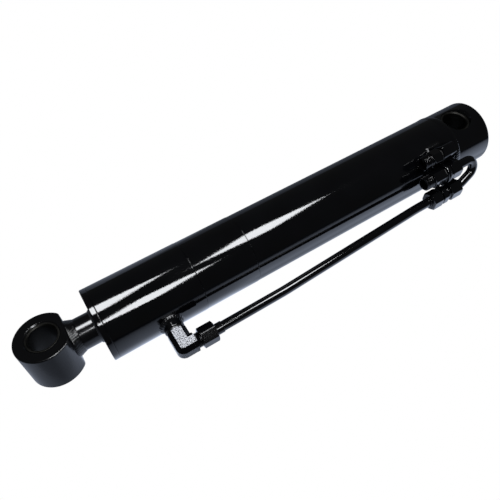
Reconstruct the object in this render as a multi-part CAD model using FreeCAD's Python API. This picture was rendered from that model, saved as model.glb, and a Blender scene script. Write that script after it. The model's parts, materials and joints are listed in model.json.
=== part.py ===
import FreeCAD, Part
import math
import os
from FreeCAD import Vector

# Welded double-acting hydraulic cylinder, drawn fully retracted, in millimetres.
# Origin: centre of the base pin bore. +X runs along the rod towards the rod eye,
# +Y is the side that carries the rod-end port and the steel line, +Z is the base pin axis.

os.makedirs("parts", exist_ok=True)

# ---------------------------------------------------------------- driving dimensions
BORE_R = 38.1            # 3 in bore
ROD_R = 19.05            # 1.5 in rod
STROKE = 355.6           # 14 in stroke
RUN_GAP = 0.05           # radial clearance of every running fit
LOOSE_GAP = 0.35         # radial gap between metal faces that must never touch

# base boss and its pin bore
BOSS_R = 43.4
BOSS_BACK_X = -34.8
BOSS_SEAM_X = 26.0
SPIGOT_END_X = 40.0
PIN_R = 15.925           # running bore for a 1.25 in pin
BUSH_R = 19.05           # outside of both pin bushes
BASE_BUSH_LENGTH = 76.0

# barrel: three turned lengths, thicker towards the gland
BARREL_BASE_R = 43.9
BARREL_MIDDLE_R = 44.2
BARREL_HEAD_R = 44.45
RING_NEAR_BASE_X = 346.8
RING_NEAR_HEAD_X = 418.4
GLAND_SEAM_X = 531.0
GLAND_FACE_X = 538.0
GLAND_THREAD_R = 40.0
GLAND_THREAD_X = 505.0
GLAND_SPIGOT_X = 474.0
GLAND_NOSE_R = 33.0

# rod eye
EYE_X = 592.3
EYE_R = 31.75
EYE_WIDTH = 53.2
EYE_FLAT = 25.0          # eye centre to the flat that the rod is welded to
EYE_TURN = 10.0          # degrees the eye is turned about the rod
EYE_BUSH_LENGTH = 51.6
EYE_WELD_R = 22.6
EYE_WELD_START_X = 558.5

# piston end
ROD_END_X = 40.5
ROD_STUD_R = 12.65
PISTON_NUT_X = 43.0
PISTON_BACK_X = 66.0
PISTON_FRONT_X = 101.4
PISTON_R = 37.6
PISTON_STUD_BORE_R = 12.7

# steel line and its 12 mm compression fittings (24 degree cone, M18 x 1.5 nuts)
TUBE_R = 6.0
TUBE_BORE_R = 4.5
STUD_R = 9.0
STUD_GAP = 0.05
NUT_FLATS = 22.0
BODY_FLATS = 19.0
CONE_DEPTH = 5.0
TUBE_SEAT_DEPTH = 7.5
NUT_OVERLAP = 9.5        # how far a nut reaches back over the stud from the stud's mouth
SLEEVE_SHOULDER_R = 8.4
SLEEVE_COLLAR_R = 6.9

# rod-end port, at right angles to the barrel
ROD_PORT_X = 466.0
ROD_PORT_AXIS_Y = 76.8
ELBOW_SIZE = 22.4
ELBOW_ARM_WIDTH = 19.4
ELBOW_BEVEL = 5.4        # 45 degree bevels along both bars of the forging
ELBOW_ROUND = 9.0        # outer corner of the forging, seen along Z
ELBOW_END_X = 453.0
ELBOW_FOOT_Y = 56.0
ELBOW_MOUTH_X = 438.0
PORT_BOSS_R = 12.0
PORT_BOSS_TOP = 52.5
PORT_STEM_R = 8.0
PORT_WASHER = 1.8

# straight union between the long line and the U-bend
UNION_Y = 69.0
UNION_HEX_X = (72.7, 80.7)
UNION_MOUTHS_X = (57.9, 92.5)

# bulkhead union under the base port, and its bracket
BULKHEAD_Y = 57.1
BULKHEAD_Z = 28.1
BULKHEAD_REAR_MOUTH_X = 56.5
BULKHEAD_HEX_X = (75.0, 95.0)
BULKHEAD_MOUTH_X = 107.0
BRACKET_X = (70.0, 75.0)
LOCKNUT_X = (66.3, 70.0)

# base port block, welded on at an angle round the barrel
BLOCK_ANGLE = 48.5
BLOCK_X = (51.0, 71.0)
BLOCK_HALF_WIDTH = 11.0
BLOCK_TOP_R = 71.0
BLOCK_PORT_R = 60.0      # height of the port axis above the barrel axis
BLOCK_CORNER = 8.0       # bevel on the edge nearer the line
ADAPTER_HEX_X = (72.8, 86.0)
ADAPTER_MOUTH_X = 100.0

AXIS_X = Vector(1, 0, 0)
AXIS_Y = Vector(0, 1, 0)
AXIS_Z = Vector(0, 0, 1)
ORIGIN = Vector(0, 0, 0)


# ---------------------------------------------------------------- shape helpers
def cylinder_x(start, end, radius):
    return Part.makeCylinder(radius, end - start, Vector(start, 0, 0), AXIS_X)


def cylinder_y(start, end, radius, x=0.0, z=0.0):
    return Part.makeCylinder(radius, end - start, Vector(x, start, z), AXIS_Y)


def turned(profile):
    """Solid of revolution about the X axis from (x, radius) corners."""
    corners = [Vector(x, radius, 0) for x, radius in profile]
    face = Part.Face(Part.makePolygon(corners + corners[:1]))
    return face.revolve(ORIGIN, AXIS_X, 360)


def ring(start, end, inner, outer):
    return turned([(start, inner), (end, inner), (end, outer), (start, outer)])


def chamfered_ring(start, end, inner, outer, chamfer):
    return turned([
        (start, inner), (end, inner), (end, outer - chamfer), (end - chamfer, outer),
        (start + chamfer, outer), (start, outer - chamfer)])


def hexagon(start, end, flats, bore):
    """Hexagon bar along X with turned corners and a plain bore."""
    corner = flats / math.sqrt(3)
    points = []
    for step in range(7):
        angle = math.radians(60 * step + 30)
        points.append(Vector(start, corner * math.cos(angle), corner * math.sin(angle)))
    bar = Part.Face(Part.makePolygon(points)).extrude(Vector(end - start, 0, 0))
    turn = corner - flats / 2
    depth = turn * math.tan(math.radians(30))
    envelope = turned([
        (start, 0), (end, 0), (end, flats / 2), (end - depth, corner),
        (start + depth, corner), (start, flats / 2)])
    return bar.common(envelope).cut(cylinder_x(start - 1, end + 1, bore))


def moved(shape, x=0.0, y=0.0, z=0.0):
    copy = shape.copy()
    copy.translate(Vector(x, y, z))
    return copy


def mirrored_x(shape, x):
    """Shape built pointing along +X with its mouth at 0, turned to point along -X at x."""
    copy = shape.copy()
    copy.rotate(ORIGIN, AXIS_Z, 180)
    copy.translate(Vector(x, 0, 0))
    return copy


def turned_about_barrel(shape, degrees):
    copy = shape.copy()
    copy.rotate(ORIGIN, AXIS_X, degrees)
    return copy


def swept(path, radius):
    """Round bar along a wire of straight runs and tangent arcs that starts along X."""
    start = path.OrderedVertexes[0].Point
    circle = Part.Wire(Part.makeCircle(radius, start, AXIS_X))
    return path.makePipeShell([circle], True, True)


def route(start, across, moves):
    """Wire in the plane of X and the unit vector across, first heading along -X.

    Each move is ("run", length) or ("bend", radius, degrees), positive towards across.
    """
    point = start
    heading = 0.0
    edges = []
    for move in moves:
        if move[0] == "run":
            step = Vector(-math.cos(heading), 0, 0) + across * math.sin(heading)
            target = point + step * move[1]
            edges.append(Part.makeLine(point, target))
        else:
            radius = move[1]
            turn = math.radians(move[2])
            side = math.copysign(1.0, turn)
            inward = Vector(math.sin(heading), 0, 0) + across * math.cos(heading)
            centre = point + inward * (radius * side)

            def at(angle):
                away = Vector(math.sin(angle), 0, 0) + across * math.cos(angle)
                return centre - away * (radius * side)

            target = at(heading + turn)
            edges.append(Part.Arc(point, at(heading + turn / 2), target).toShape())
            heading += turn
        point = target
    return Part.Wire(edges)


def pipe(path):
    return swept(path, TUBE_R).cut(swept(path, TUBE_BORE_R))


def save(name, shape):
    solids = shape.Solids
    result = solids[0] if len(solids) == 1 else Part.makeCompound(solids)
    healthy = all(solid.isValid() and solid.isClosed() for solid in solids)
    print(name, len(solids), "solids, volume", round(result.Volume, 1), "sound", healthy)
    result.exportStep("parts/" + name + ".step")


# ---------------------------------------------------------------- 12 mm fitting shapes
def stud(length, lead=1.0):
    """Male stud along X whose mouth is at 0 and whose root is at -length."""
    cone_r = TUBE_R + 0.05 + CONE_DEPTH * math.tan(math.radians(12))
    outside = turned([(-length, 0), (-length, STUD_R), (-lead, STUD_R), (0, STUD_R - lead), (0, 0)])
    seat = turned([
        (-TUBE_SEAT_DEPTH, 0), (-TUBE_SEAT_DEPTH, TUBE_R + 0.05), (-CONE_DEPTH, TUBE_R + 0.05),
        (0, cone_r), (0.5, cone_r), (0.5, 0)])
    return outside.cut(seat).cut(cylinder_x(-length - 1, 1, TUBE_BORE_R))


def tube_nut(front):
    """Union nut along X round a stud whose mouth is at 0."""
    block = hexagon(-NUT_OVERLAP, front, NUT_FLATS, SLEEVE_COLLAR_R + 0.1)
    hollow = turned([
        (-NUT_OVERLAP - 1, 0), (-NUT_OVERLAP - 1, STUD_R + STUD_GAP), (0.5, STUD_R + STUD_GAP),
        (0.5, SLEEVE_SHOULDER_R + 0.1), (3.6, SLEEVE_SHOULDER_R + 0.1),
        (5.4, SLEEVE_COLLAR_R + 0.1), (5.4, 0)])
    return block.cut(hollow)


def sleeve(collar):
    """Cutting ring round the tube: a nose in the stud's cone, a shoulder and a collar."""
    inner = TUBE_R + 0.02
    nose = TUBE_R + 0.08
    cone_r = TUBE_R + CONE_DEPTH * math.tan(math.radians(12)) - 0.05
    return turned([
        (-CONE_DEPTH + 0.3, inner), (-CONE_DEPTH + 0.3, nose), (0.1, cone_r), (0.1, SLEEVE_SHOULDER_R),
        (3.4, SLEEVE_SHOULDER_R), (5.0, SLEEVE_COLLAR_R), (collar - 0.5, SLEEVE_COLLAR_R),
        (collar, SLEEVE_COLLAR_R - 0.5), (collar, inner)])


# ---------------------------------------------------------------- barrel and base
def base_boss():
    chamfer = 1.5
    body = turned([
        (BOSS_BACK_X, 0), (BOSS_BACK_X, BOSS_R - chamfer), (BOSS_BACK_X + chamfer, BOSS_R),
        (BOSS_SEAM_X - 4, BOSS_R), (BOSS_SEAM_X, BOSS_R - 4), (BOSS_SEAM_X, BORE_R - RUN_GAP),
        (SPIGOT_END_X, BORE_R - RUN_GAP), (SPIGOT_END_X, 0)])
    half = BOSS_R + 1
    body = body.cut(Part.makeCylinder(BUSH_R, 2 * half, Vector(0, 0, -half), AXIS_Z))
    flare_top = BOSS_R + 0.5
    flare_depth = 5.0
    flare = Part.makeCone(
        BUSH_R, BUSH_R + 2.2, flare_depth, Vector(0, 0, flare_top - flare_depth), AXIS_Z)
    body = body.cut(flare)
    flare.rotate(ORIGIN, AXIS_X, 180)
    return body.cut(flare)


def pin_bush(length, chamfer):
    half = length / 2
    outer = Part.makeCylinder(BUSH_R, length, Vector(0, 0, -half), AXIS_Z)
    bore = Part.makeCylinder(PIN_R, length + 2, Vector(0, 0, -half - 1), AXIS_Z)
    bush = outer.cut(bore)
    for side in (0, 180):
        mouth = Part.makeCone(PIN_R, PIN_R + chamfer + 1, chamfer + 1, Vector(0, 0, half - chamfer), AXIS_Z)
        mouth.rotate(ORIGIN, AXIS_X, side)
        bush = bush.cut(mouth)
    return bush


def barrel_tube():
    lead = 1.2
    body = turned([
        (BOSS_SEAM_X, BORE_R), (BOSS_SEAM_X, BARREL_BASE_R - 4), (BOSS_SEAM_X + 4, BARREL_BASE_R),
        (RING_NEAR_BASE_X, BARREL_BASE_R), (RING_NEAR_BASE_X, BARREL_MIDDLE_R),
        (RING_NEAR_HEAD_X, BARREL_MIDDLE_R), (RING_NEAR_HEAD_X, BARREL_HEAD_R),
        (GLAND_SEAM_X - 0.6, BARREL_HEAD_R), (GLAND_SEAM_X, BARREL_HEAD_R - 0.6),
        (GLAND_SEAM_X, GLAND_THREAD_R + 0.05), (GLAND_THREAD_X, GLAND_THREAD_R + 0.05),
        (GLAND_THREAD_X - lead, BORE_R)])
    rod_port = cylinder_y(BORE_R - 5, BARREL_HEAD_R + 5, TUBE_BORE_R, ROD_PORT_X)
    base_port = cylinder_y(BORE_R - 8, BARREL_HEAD_R + 5, TUBE_BORE_R, block_passage_x())
    return body.cut(rod_port).cut(turned_about_barrel(base_port, BLOCK_ANGLE))


def base_weld_bead():
    """Groove weld that fills the bevels between the boss and the tube, with a raised crown."""
    crown = 45.0
    half = 5.5
    root = BARREL_BASE_R - 4
    return turned([
        (BOSS_SEAM_X, root), (BOSS_SEAM_X + 4, BARREL_BASE_R), (BOSS_SEAM_X + half, BARREL_BASE_R),
        (BOSS_SEAM_X + half - 2, crown - 0.3), (BOSS_SEAM_X, crown), (BOSS_SEAM_X - half + 2, crown - 0.6),
        (BOSS_SEAM_X - half, BOSS_R), (BOSS_SEAM_X - 4, BOSS_R), (BOSS_SEAM_X, BOSS_R - 4)])


# ---------------------------------------------------------------- gland and its seals
WEAR_RING_DEPTH = 2.5
SEAL_DEPTH = 5.0
# name: (start x, end x, groove depth)
GLAND_RINGS = {
    "rod_wear_ring_inner": (478.0, 488.0, WEAR_RING_DEPTH),
    "rod_buffer_seal": (491.5, 498.0, SEAL_DEPTH),
    "rod_seal": (502.0, 511.0, SEAL_DEPTH),
    "rod_wear_ring_outer": (514.0, 524.0, WEAR_RING_DEPTH),
}
WIPER_X = (528.5, 537.2)
WIPER_LIP_X = 540.5
GLAND_SEAL_X = (484.0, 490.5)
GLAND_O_RING_WIDTH = 4.4
GLAND_SEAL_INNER_R = 34.2
SPANNER_HOLE_R = 3.0
SPANNER_HOLE_PCD_R = 33.0
SPANNER_HOLE_DEPTH = 5.0


def head_gland():
    inner = ROD_R + LOOSE_GAP
    spigot_r = BORE_R - RUN_GAP
    body = turned([
        (PISTON_FRONT_X + STROKE + 0.3, inner), (PISTON_FRONT_X + STROKE + 0.3, GLAND_NOSE_R - 1.5),
        (PISTON_FRONT_X + STROKE + 1.8, GLAND_NOSE_R), (GLAND_SPIGOT_X, GLAND_NOSE_R),
        (GLAND_SPIGOT_X, spigot_r - 1), (GLAND_SPIGOT_X + 1, spigot_r), (GLAND_THREAD_X, spigot_r),
        (GLAND_THREAD_X + 2, GLAND_THREAD_R), (GLAND_SEAM_X, GLAND_THREAD_R),
        (GLAND_SEAM_X, BARREL_HEAD_R - 0.6), (GLAND_SEAM_X + 0.6, BARREL_HEAD_R),
        (GLAND_FACE_X - 1.2, BARREL_HEAD_R), (GLAND_FACE_X, BARREL_HEAD_R - 1.2), (GLAND_FACE_X, inner)])
    for start, end, depth in GLAND_RINGS.values():
        body = body.cut(ring(start, end, inner - 1, ROD_R + depth))
    body = body.cut(ring(WIPER_X[0], WIPER_X[1], inner - 1, ROD_R + SEAL_DEPTH))
    body = body.cut(ring(WIPER_X[1] - 1, GLAND_FACE_X + 1, inner - 1, ROD_R + 3.2))
    body = body.cut(ring(GLAND_SEAL_X[0], GLAND_SEAL_X[1], GLAND_SEAL_INNER_R, BORE_R + 1))
    for step in range(4):
        angle = math.radians(45 + 90 * step)
        hole = cylinder_x(GLAND_FACE_X - SPANNER_HOLE_DEPTH, GLAND_FACE_X + 1, SPANNER_HOLE_R)
        body = body.cut(moved(
            hole, 0, SPANNER_HOLE_PCD_R * math.cos(angle), SPANNER_HOLE_PCD_R * math.sin(angle)))
    return body


def wiper_seal():
    inner = ROD_R + RUN_GAP
    outer = ROD_R + SEAL_DEPTH
    return turned([
        (WIPER_X[0], inner + 0.8), (WIPER_X[0] + 4, inner + 0.8), (WIPER_LIP_X, inner),
        (WIPER_LIP_X, inner + 0.7), (WIPER_X[1], inner + 2.6), (WIPER_X[1], outer - 0.1),
        (WIPER_X[0], outer)])


# ---------------------------------------------------------------- ports on the barrel
def fillet_weld(foot, radius, top, barrel_r, leg):
    """Ring of weld round a round boss that stands on the barrel along +Y."""
    cone = Part.makeCone(radius + leg, radius, top - foot, Vector(0, foot, 0), AXIS_Y)
    return cone.cut(cylinder_y(foot - 1, top + 1, radius)).cut(cylinder_x(-50, 50, barrel_r))


def rod_port_boss():
    rim = Part.makeCone(PORT_BOSS_R, PORT_BOSS_R - 1, 1, Vector(0, PORT_BOSS_TOP - 1, 0), AXIS_Y)
    body = cylinder_y(30, PORT_BOSS_TOP - 1, PORT_BOSS_R).fuse(rim).removeSplitter()
    body = body.cut(cylinder_x(-50, 50, BARREL_HEAD_R))
    body = body.cut(cylinder_y(PORT_BOSS_TOP - 6.5, PORT_BOSS_TOP + 1, PORT_STEM_R + 0.05))
    return moved(body.cut(cylinder_y(30, PORT_BOSS_TOP, TUBE_BORE_R)), ROD_PORT_X)


def bevelled_bar(length, width, depth, bevel):
    """Eight-sided bar along X from 0 to length, with flat ends; width along Y, depth along Z."""
    y = width / 2
    z = depth / 2
    corners = [
        Vector(0, y, bevel - z), Vector(0, y, z - bevel),
        Vector(0, y - bevel, z), Vector(0, bevel - y, z),
        Vector(0, -y, z - bevel), Vector(0, -y, bevel - z),
        Vector(0, bevel - y, -z), Vector(0, y - bevel, -z)]
    return Part.Face(Part.makePolygon(corners + corners[:1])).extrude(Vector(length, 0, 0))


def elbow_corner_waste():
    """What is taken off the elbow's outer corner: a square post less a bevelled round one."""
    half = ELBOW_SIZE / 2
    corner_x = ROD_PORT_X + half
    corner_y = ROD_PORT_AXIS_Y + ELBOW_ARM_WIDTH / 2
    centre = Vector(corner_x - ELBOW_ROUND, corner_y - ELBOW_ROUND, -half)
    straight = ELBOW_SIZE - 2 * ELBOW_BEVEL
    small = ELBOW_ROUND - ELBOW_BEVEL
    side_start = centre + Vector(0, 0, ELBOW_BEVEL)
    side_end = side_start + Vector(0, 0, straight)
    lower = Part.makeCone(small, ELBOW_ROUND, ELBOW_BEVEL, centre, AXIS_Z)
    middle = Part.makeCylinder(ELBOW_ROUND, straight, side_start, AXIS_Z)
    upper = Part.makeCone(ELBOW_ROUND, small, ELBOW_BEVEL, side_end, AXIS_Z)
    post = Part.makeBox(ELBOW_ROUND + 5, ELBOW_ROUND + 5, ELBOW_SIZE, centre)
    return post.cut(lower.fuse([middle, upper]))


def rod_port_elbow():
    """Forged elbow: a bevelled leg rising from the port and a bevelled arm towards the base."""
    half = ELBOW_SIZE / 2
    arm_side_y = ROD_PORT_AXIS_Y + ELBOW_ARM_WIDTH / 2
    leg = bevelled_bar(arm_side_y - ELBOW_FOOT_Y, ELBOW_SIZE, ELBOW_SIZE, ELBOW_BEVEL)
    leg.rotate(ORIGIN, AXIS_Z, 90)
    leg.translate(Vector(ROD_PORT_X, ELBOW_FOOT_Y, 0))
    arm = bevelled_bar(ROD_PORT_X + half - ELBOW_END_X, ELBOW_ARM_WIDTH, ELBOW_SIZE, ELBOW_BEVEL)
    arm.translate(Vector(ELBOW_END_X, ROD_PORT_AXIS_Y, 0))
    forging = leg.fuse(arm).cut(elbow_corner_waste())
    washer_top = PORT_BOSS_TOP + PORT_WASHER
    collar = cylinder_y(washer_top, ELBOW_FOOT_Y + 5, PORT_STEM_R + 2.6, ROD_PORT_X)
    stem = cylinder_y(PORT_BOSS_TOP - 6, washer_top, PORT_STEM_R, ROD_PORT_X)
    neck = moved(cylinder_x(ELBOW_END_X - 1, ELBOW_END_X + 5, STUD_R), 0, ROD_PORT_AXIS_Y)
    outlet = moved(mirrored_x(stud(ELBOW_END_X - ELBOW_MOUTH_X - 0.5), ELBOW_MOUTH_X), 0, ROD_PORT_AXIS_Y)
    body = forging.fuse([collar, stem, neck, outlet])
    body = body.cut(cylinder_y(PORT_BOSS_TOP - 7, ROD_PORT_AXIS_Y, TUBE_BORE_R, ROD_PORT_X))
    passage = cylinder_x(ELBOW_MOUTH_X + TUBE_SEAT_DEPTH, ROD_PORT_X, TUBE_BORE_R)
    return body.cut(moved(passage, 0, ROD_PORT_AXIS_Y))


def washer_y():
    shape = cylinder_y(PORT_BOSS_TOP, PORT_BOSS_TOP + PORT_WASHER, PORT_STEM_R + 3.0, ROD_PORT_X)
    return shape.cut(cylinder_y(PORT_BOSS_TOP - 1, PORT_BOSS_TOP + 3, PORT_STEM_R + 0.05, ROD_PORT_X))


def block_passage_x():
    return (BLOCK_X[0] + BLOCK_X[1]) / 2


def base_port_block():
    """Machined block standing on the barrel along +Y, before it is turned to its angle.

    The edge nearer the line is cut off at 45 degrees to clear the spanner for the bulkhead union.
    """
    length = BLOCK_X[1] - BLOCK_X[0]
    foot = 36.0
    body = Part.makeBox(
        length, BLOCK_TOP_R - foot, 2 * BLOCK_HALF_WIDTH, Vector(BLOCK_X[0], foot, -BLOCK_HALF_WIDTH))
    rim = [edge for edge in body.Edges if edge.CenterOfMass.y > (foot + BLOCK_TOP_R) / 2 - 1]
    body = body.makeChamfer(2.0, rim)
    corner = [
        Vector(BLOCK_X[0] - 1, BLOCK_TOP_R - BLOCK_CORNER, -BLOCK_HALF_WIDTH),
        Vector(BLOCK_X[0] - 1, BLOCK_TOP_R, BLOCK_CORNER - BLOCK_HALF_WIDTH),
        Vector(BLOCK_X[0] - 1, BLOCK_TOP_R + BLOCK_CORNER, -BLOCK_HALF_WIDTH)]
    wedge = Part.Face(Part.makePolygon(corner + corner[:1])).extrude(Vector(length + 2, 0, 0))
    body = body.cut(wedge)
    body = body.cut(cylinder_x(BLOCK_X[0] - 1, BLOCK_X[1] + 1, BARREL_BASE_R))
    port = cylinder_x(BLOCK_X[1] - 11, BLOCK_X[1] + 1, PORT_STEM_R + 0.05)
    passage = cylinder_x(block_passage_x(), BLOCK_X[1], TUBE_BORE_R)
    body = body.cut(moved(port.fuse(passage), 0, BLOCK_PORT_R))
    return body.cut(cylinder_y(foot - 1, BLOCK_PORT_R, TUBE_BORE_R, block_passage_x()))


def rectangle_weld(x_range, half_width, foot, top, leg):
    """Tapered band of weld round a rectangular foot that stands on the barrel along +Y."""
    def outline(height, spread):
        corners = [
            Vector(x_range[0] - spread, height, -half_width - spread),
            Vector(x_range[1] + spread, height, -half_width - spread),
            Vector(x_range[1] + spread, height, half_width + spread),
            Vector(x_range[0] - spread, height, half_width + spread)]
        return Part.makePolygon(corners + corners[:1])

    skirt = Part.makeLoft([outline(foot, leg), outline(top, 0.3)], True, True)
    inside = Part.makeBox(
        x_range[1] - x_range[0], top - foot + 2, 2 * half_width,
        Vector(x_range[0], foot - 1, -half_width))
    return skirt.cut(inside).cut(cylinder_x(0, 120, BARREL_BASE_R))


def base_port_adapter():
    """Hose adapter screwed into the block, built along X with its mouth at 0."""
    mouth = ADAPTER_MOUTH_X
    body = stud(mouth - ADAPTER_HEX_X[1])
    body = body.fuse([
        hexagon(ADAPTER_HEX_X[0] - mouth, ADAPTER_HEX_X[1] - mouth, BODY_FLATS, TUBE_BORE_R),
        ring(BLOCK_X[1] - 9 - mouth, ADAPTER_HEX_X[0] - mouth, TUBE_BORE_R, PORT_STEM_R)])
    return moved(body.removeSplitter(), mouth)


def adapter_washer():
    return ring(BLOCK_X[1], ADAPTER_HEX_X[0], PORT_STEM_R + 0.05, BODY_FLATS / 2)


def at_block_port(shape):
    return turned_about_barrel(moved(shape, 0, BLOCK_PORT_R), BLOCK_ANGLE)


# ---------------------------------------------------------------- bulkhead union and bracket
def bulkhead_angle():
    return math.degrees(math.atan2(BULKHEAD_Z, BULKHEAD_Y))


def bulkhead_radius():
    return math.hypot(BULKHEAD_Y, BULKHEAD_Z)


BRACKET_HALF_WIDTH = 13.0


def bracket_plate():
    """Plate standing on the barrel, round at its outer end, with a hole for the union."""
    thickness = BRACKET_X[1] - BRACKET_X[0]
    foot = 36.0
    centre = bulkhead_radius()
    web = Part.makeBox(
        thickness, centre - foot, 2 * BRACKET_HALF_WIDTH, Vector(BRACKET_X[0], foot, -BRACKET_HALF_WIDTH))
    head = moved(cylinder_x(BRACKET_X[0], BRACKET_X[1], BRACKET_HALF_WIDTH), 0, centre)
    plate = web.fuse(head).removeSplitter()
    plate = plate.cut(cylinder_x(0, 120, BARREL_BASE_R))
    hole = moved(cylinder_x(BRACKET_X[0] - 1, BRACKET_X[1] + 1, STUD_R + 0.15), 0, centre)
    return turned_about_barrel(plate.cut(hole), bulkhead_angle()).cut(block_keepout())


def block_keepout():
    """Space of the port block's side, so that the bracket ends against the block."""
    box = Part.makeBox(
        60, 60, 40, Vector(BLOCK_X[0] - 20, 30, -BLOCK_HALF_WIDTH))
    return turned_about_barrel(box, BLOCK_ANGLE)


def bulkhead_union():
    front = moved(stud(BULKHEAD_MOUTH_X - BULKHEAD_HEX_X[1]), BULKHEAD_MOUTH_X)
    rear = mirrored_x(stud(BULKHEAD_HEX_X[0] - BULKHEAD_REAR_MOUTH_X), BULKHEAD_REAR_MOUTH_X)
    body = hexagon(BULKHEAD_HEX_X[0], BULKHEAD_HEX_X[1], BODY_FLATS + 1, TUBE_BORE_R)
    return at_bulkhead(body.fuse([front, rear]).removeSplitter())


def at_bulkhead(shape):
    return moved(shape, 0, BULKHEAD_Y, BULKHEAD_Z)


def at_union(shape):
    return moved(shape, 0, UNION_Y)


def union_body():
    front = moved(stud(UNION_MOUTHS_X[1] - UNION_HEX_X[1]), UNION_MOUTHS_X[1])
    rear = mirrored_x(stud(UNION_HEX_X[0] - UNION_MOUTHS_X[0]), UNION_MOUTHS_X[0])
    body = hexagon(UNION_HEX_X[0], UNION_HEX_X[1], BODY_FLATS + 2, TUBE_BORE_R)
    return at_union(body.fuse([front, rear]).removeSplitter())


# ---------------------------------------------------------------- steel lines
LINE_BEND_R = 220.0
LINE_SLOPE_X = (335.0, 122.0)


def line_path():
    """Elbow to union: level, then sloping slightly towards the barrel, then level again."""
    start_x = ELBOW_MOUTH_X + TUBE_SEAT_DEPTH - 0.2
    end_x = UNION_MOUTHS_X[1] - TUBE_SEAT_DEPTH + 0.2
    drop = ROD_PORT_AXIS_Y - UNION_Y
    slope = math.atan2(drop, LINE_SLOPE_X[0] - LINE_SLOPE_X[1])
    tangent = LINE_BEND_R * math.tan(slope / 2)
    slope_run = drop / math.sin(slope) - 2 * tangent
    degrees = math.degrees(slope)
    return route(Vector(start_x, ROD_PORT_AXIS_Y, 0), Vector(0, -1, 0), [
        ("run", start_x - LINE_SLOPE_X[0] - tangent),
        ("bend", LINE_BEND_R, degrees),
        ("run", slope_run),
        ("bend", LINE_BEND_R, -degrees),
        ("run", LINE_SLOPE_X[1] - tangent - end_x)])


U_LEAN = 25.0            # degrees the lower leg leans towards the upper one
U_LEAN_R = 20.0
U_BEND_R = 12.0
U_STRAIGHT = 2.0         # tube showing before the first bend


def u_bend_path():
    """Union to bulkhead: a leaning lower leg, then a tight bend back to the upper leg."""
    start = Vector(UNION_MOUTHS_X[0] + TUBE_SEAT_DEPTH - 0.2, UNION_Y, 0)
    gap = Vector(0, BULKHEAD_Y - UNION_Y, BULKHEAD_Z)
    rise = gap.Length
    lean = math.radians(U_LEAN)
    nut_face = UNION_MOUTHS_X[0] - U_NUT_FRONT
    first = start.x - nut_face + U_STRAIGHT
    climb = rise - U_LEAN_R * (1 - math.cos(lean)) - U_BEND_R * (1 + math.cos(lean))
    leg = climb / math.sin(lean)
    bend_end = nut_face - U_STRAIGHT - U_LEAN_R * math.sin(lean) - leg * math.cos(lean)
    bend_end += U_BEND_R * math.sin(lean)
    last = BULKHEAD_REAR_MOUTH_X + TUBE_SEAT_DEPTH - 0.2 - bend_end
    return route(start, gap.normalize(), [
        ("run", first),
        ("bend", U_LEAN_R, U_LEAN),
        ("run", leg),
        ("bend", U_BEND_R, 180 - U_LEAN),
        ("run", last)])


# ---------------------------------------------------------------- rod, piston and eye
# name: (start x, end x, groove floor radius)
PISTON_RINGS = {
    "piston_wear_ring_rear": (68.2, 76.2, 35.3),
    "piston_seal": (79.0, 88.5, 31.5),
    "piston_wear_ring_front": (91.2, 99.2, 35.3),
}
RING_SIDE_GAP = 0.1
ENERGISER_TOP_R = 34.6
STATIC_O_RING_X = (82.0, 86.0)
STATIC_O_RING_R = 10.8


def piston():
    body = chamfered_ring(PISTON_BACK_X, PISTON_FRONT_X, PISTON_STUD_BORE_R, PISTON_R, 1.0)
    for start, end, floor in PISTON_RINGS.values():
        body = body.cut(ring(start, end, floor, PISTON_R + 1))
    return body


def piston_ring(name, inner):
    start, end, floor = PISTON_RINGS[name]
    chamfer = 0.4
    return chamfered_ring(start + RING_SIDE_GAP, end - RING_SIDE_GAP, inner, BORE_R - RUN_GAP, chamfer)


def piston_rod():
    eye_flat_x = EYE_X - EYE_FLAT
    body = turned([
        (ROD_END_X, 0), (ROD_END_X, ROD_STUD_R - 1.5), (ROD_END_X + 1.5, ROD_STUD_R),
        (PISTON_FRONT_X, ROD_STUD_R), (PISTON_FRONT_X, ROD_R - 1.0), (PISTON_FRONT_X + 1.0, ROD_R),
        (eye_flat_x, ROD_R), (eye_flat_x, 0)])
    return body.cut(ring(STATIC_O_RING_X[0], STATIC_O_RING_X[1], STATIC_O_RING_R, ROD_STUD_R + 1))


def eye_placed(shape):
    """Eye shape built round the Z axis, turned about the rod and moved to its centre."""
    copy = turned_about_barrel(shape, EYE_TURN)
    copy.translate(Vector(EYE_X, 0, 0))
    return copy


def eye_disc():
    half = EYE_WIDTH / 2
    disc = Part.makeCylinder(EYE_R, EYE_WIDTH, Vector(0, 0, -half), AXIS_Z)
    flat = Part.makeBox(20, 80, 80, Vector(-EYE_FLAT - 20, -40, -40))
    disc = disc.cut(flat)
    rims = [edge for edge in disc.Edges if abs(abs(edge.CenterOfMass.z) - half) < 0.01]
    return disc.makeChamfer(1.2, rims)


def rod_eye():
    bore = Part.makeCylinder(BUSH_R, EYE_WIDTH + 2, Vector(0, 0, -EYE_WIDTH / 2 - 1), AXIS_Z)
    body = eye_disc().cut(bore)
    for side in (0, 180):
        mouth = Part.makeCone(BUSH_R, BUSH_R + 1.5, 1.5, Vector(0, 0, EYE_WIDTH / 2 - 0.7), AXIS_Z)
        mouth.rotate(ORIGIN, AXIS_X, side)
        body = body.cut(mouth)
    return eye_placed(body)


def rod_eye_weld():
    """Fillet weld that flares from the rod to the eye's flat and wraps its edges."""
    flat_x = EYE_X - EYE_FLAT
    collar = turned([
        (EYE_WELD_START_X, ROD_R), (EYE_WELD_START_X + 1.5, ROD_R + 0.9),
        (EYE_WELD_START_X + 4.5, ROD_R + 2.2), (flat_x - 1.0, EYE_WELD_R), (flat_x + 1.6, EYE_WELD_R),
        (flat_x + 1.6, ROD_R)])
    return collar.cut(eye_placed(eye_disc())).cut(cylinder_x(500, flat_x, ROD_R))


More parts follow.
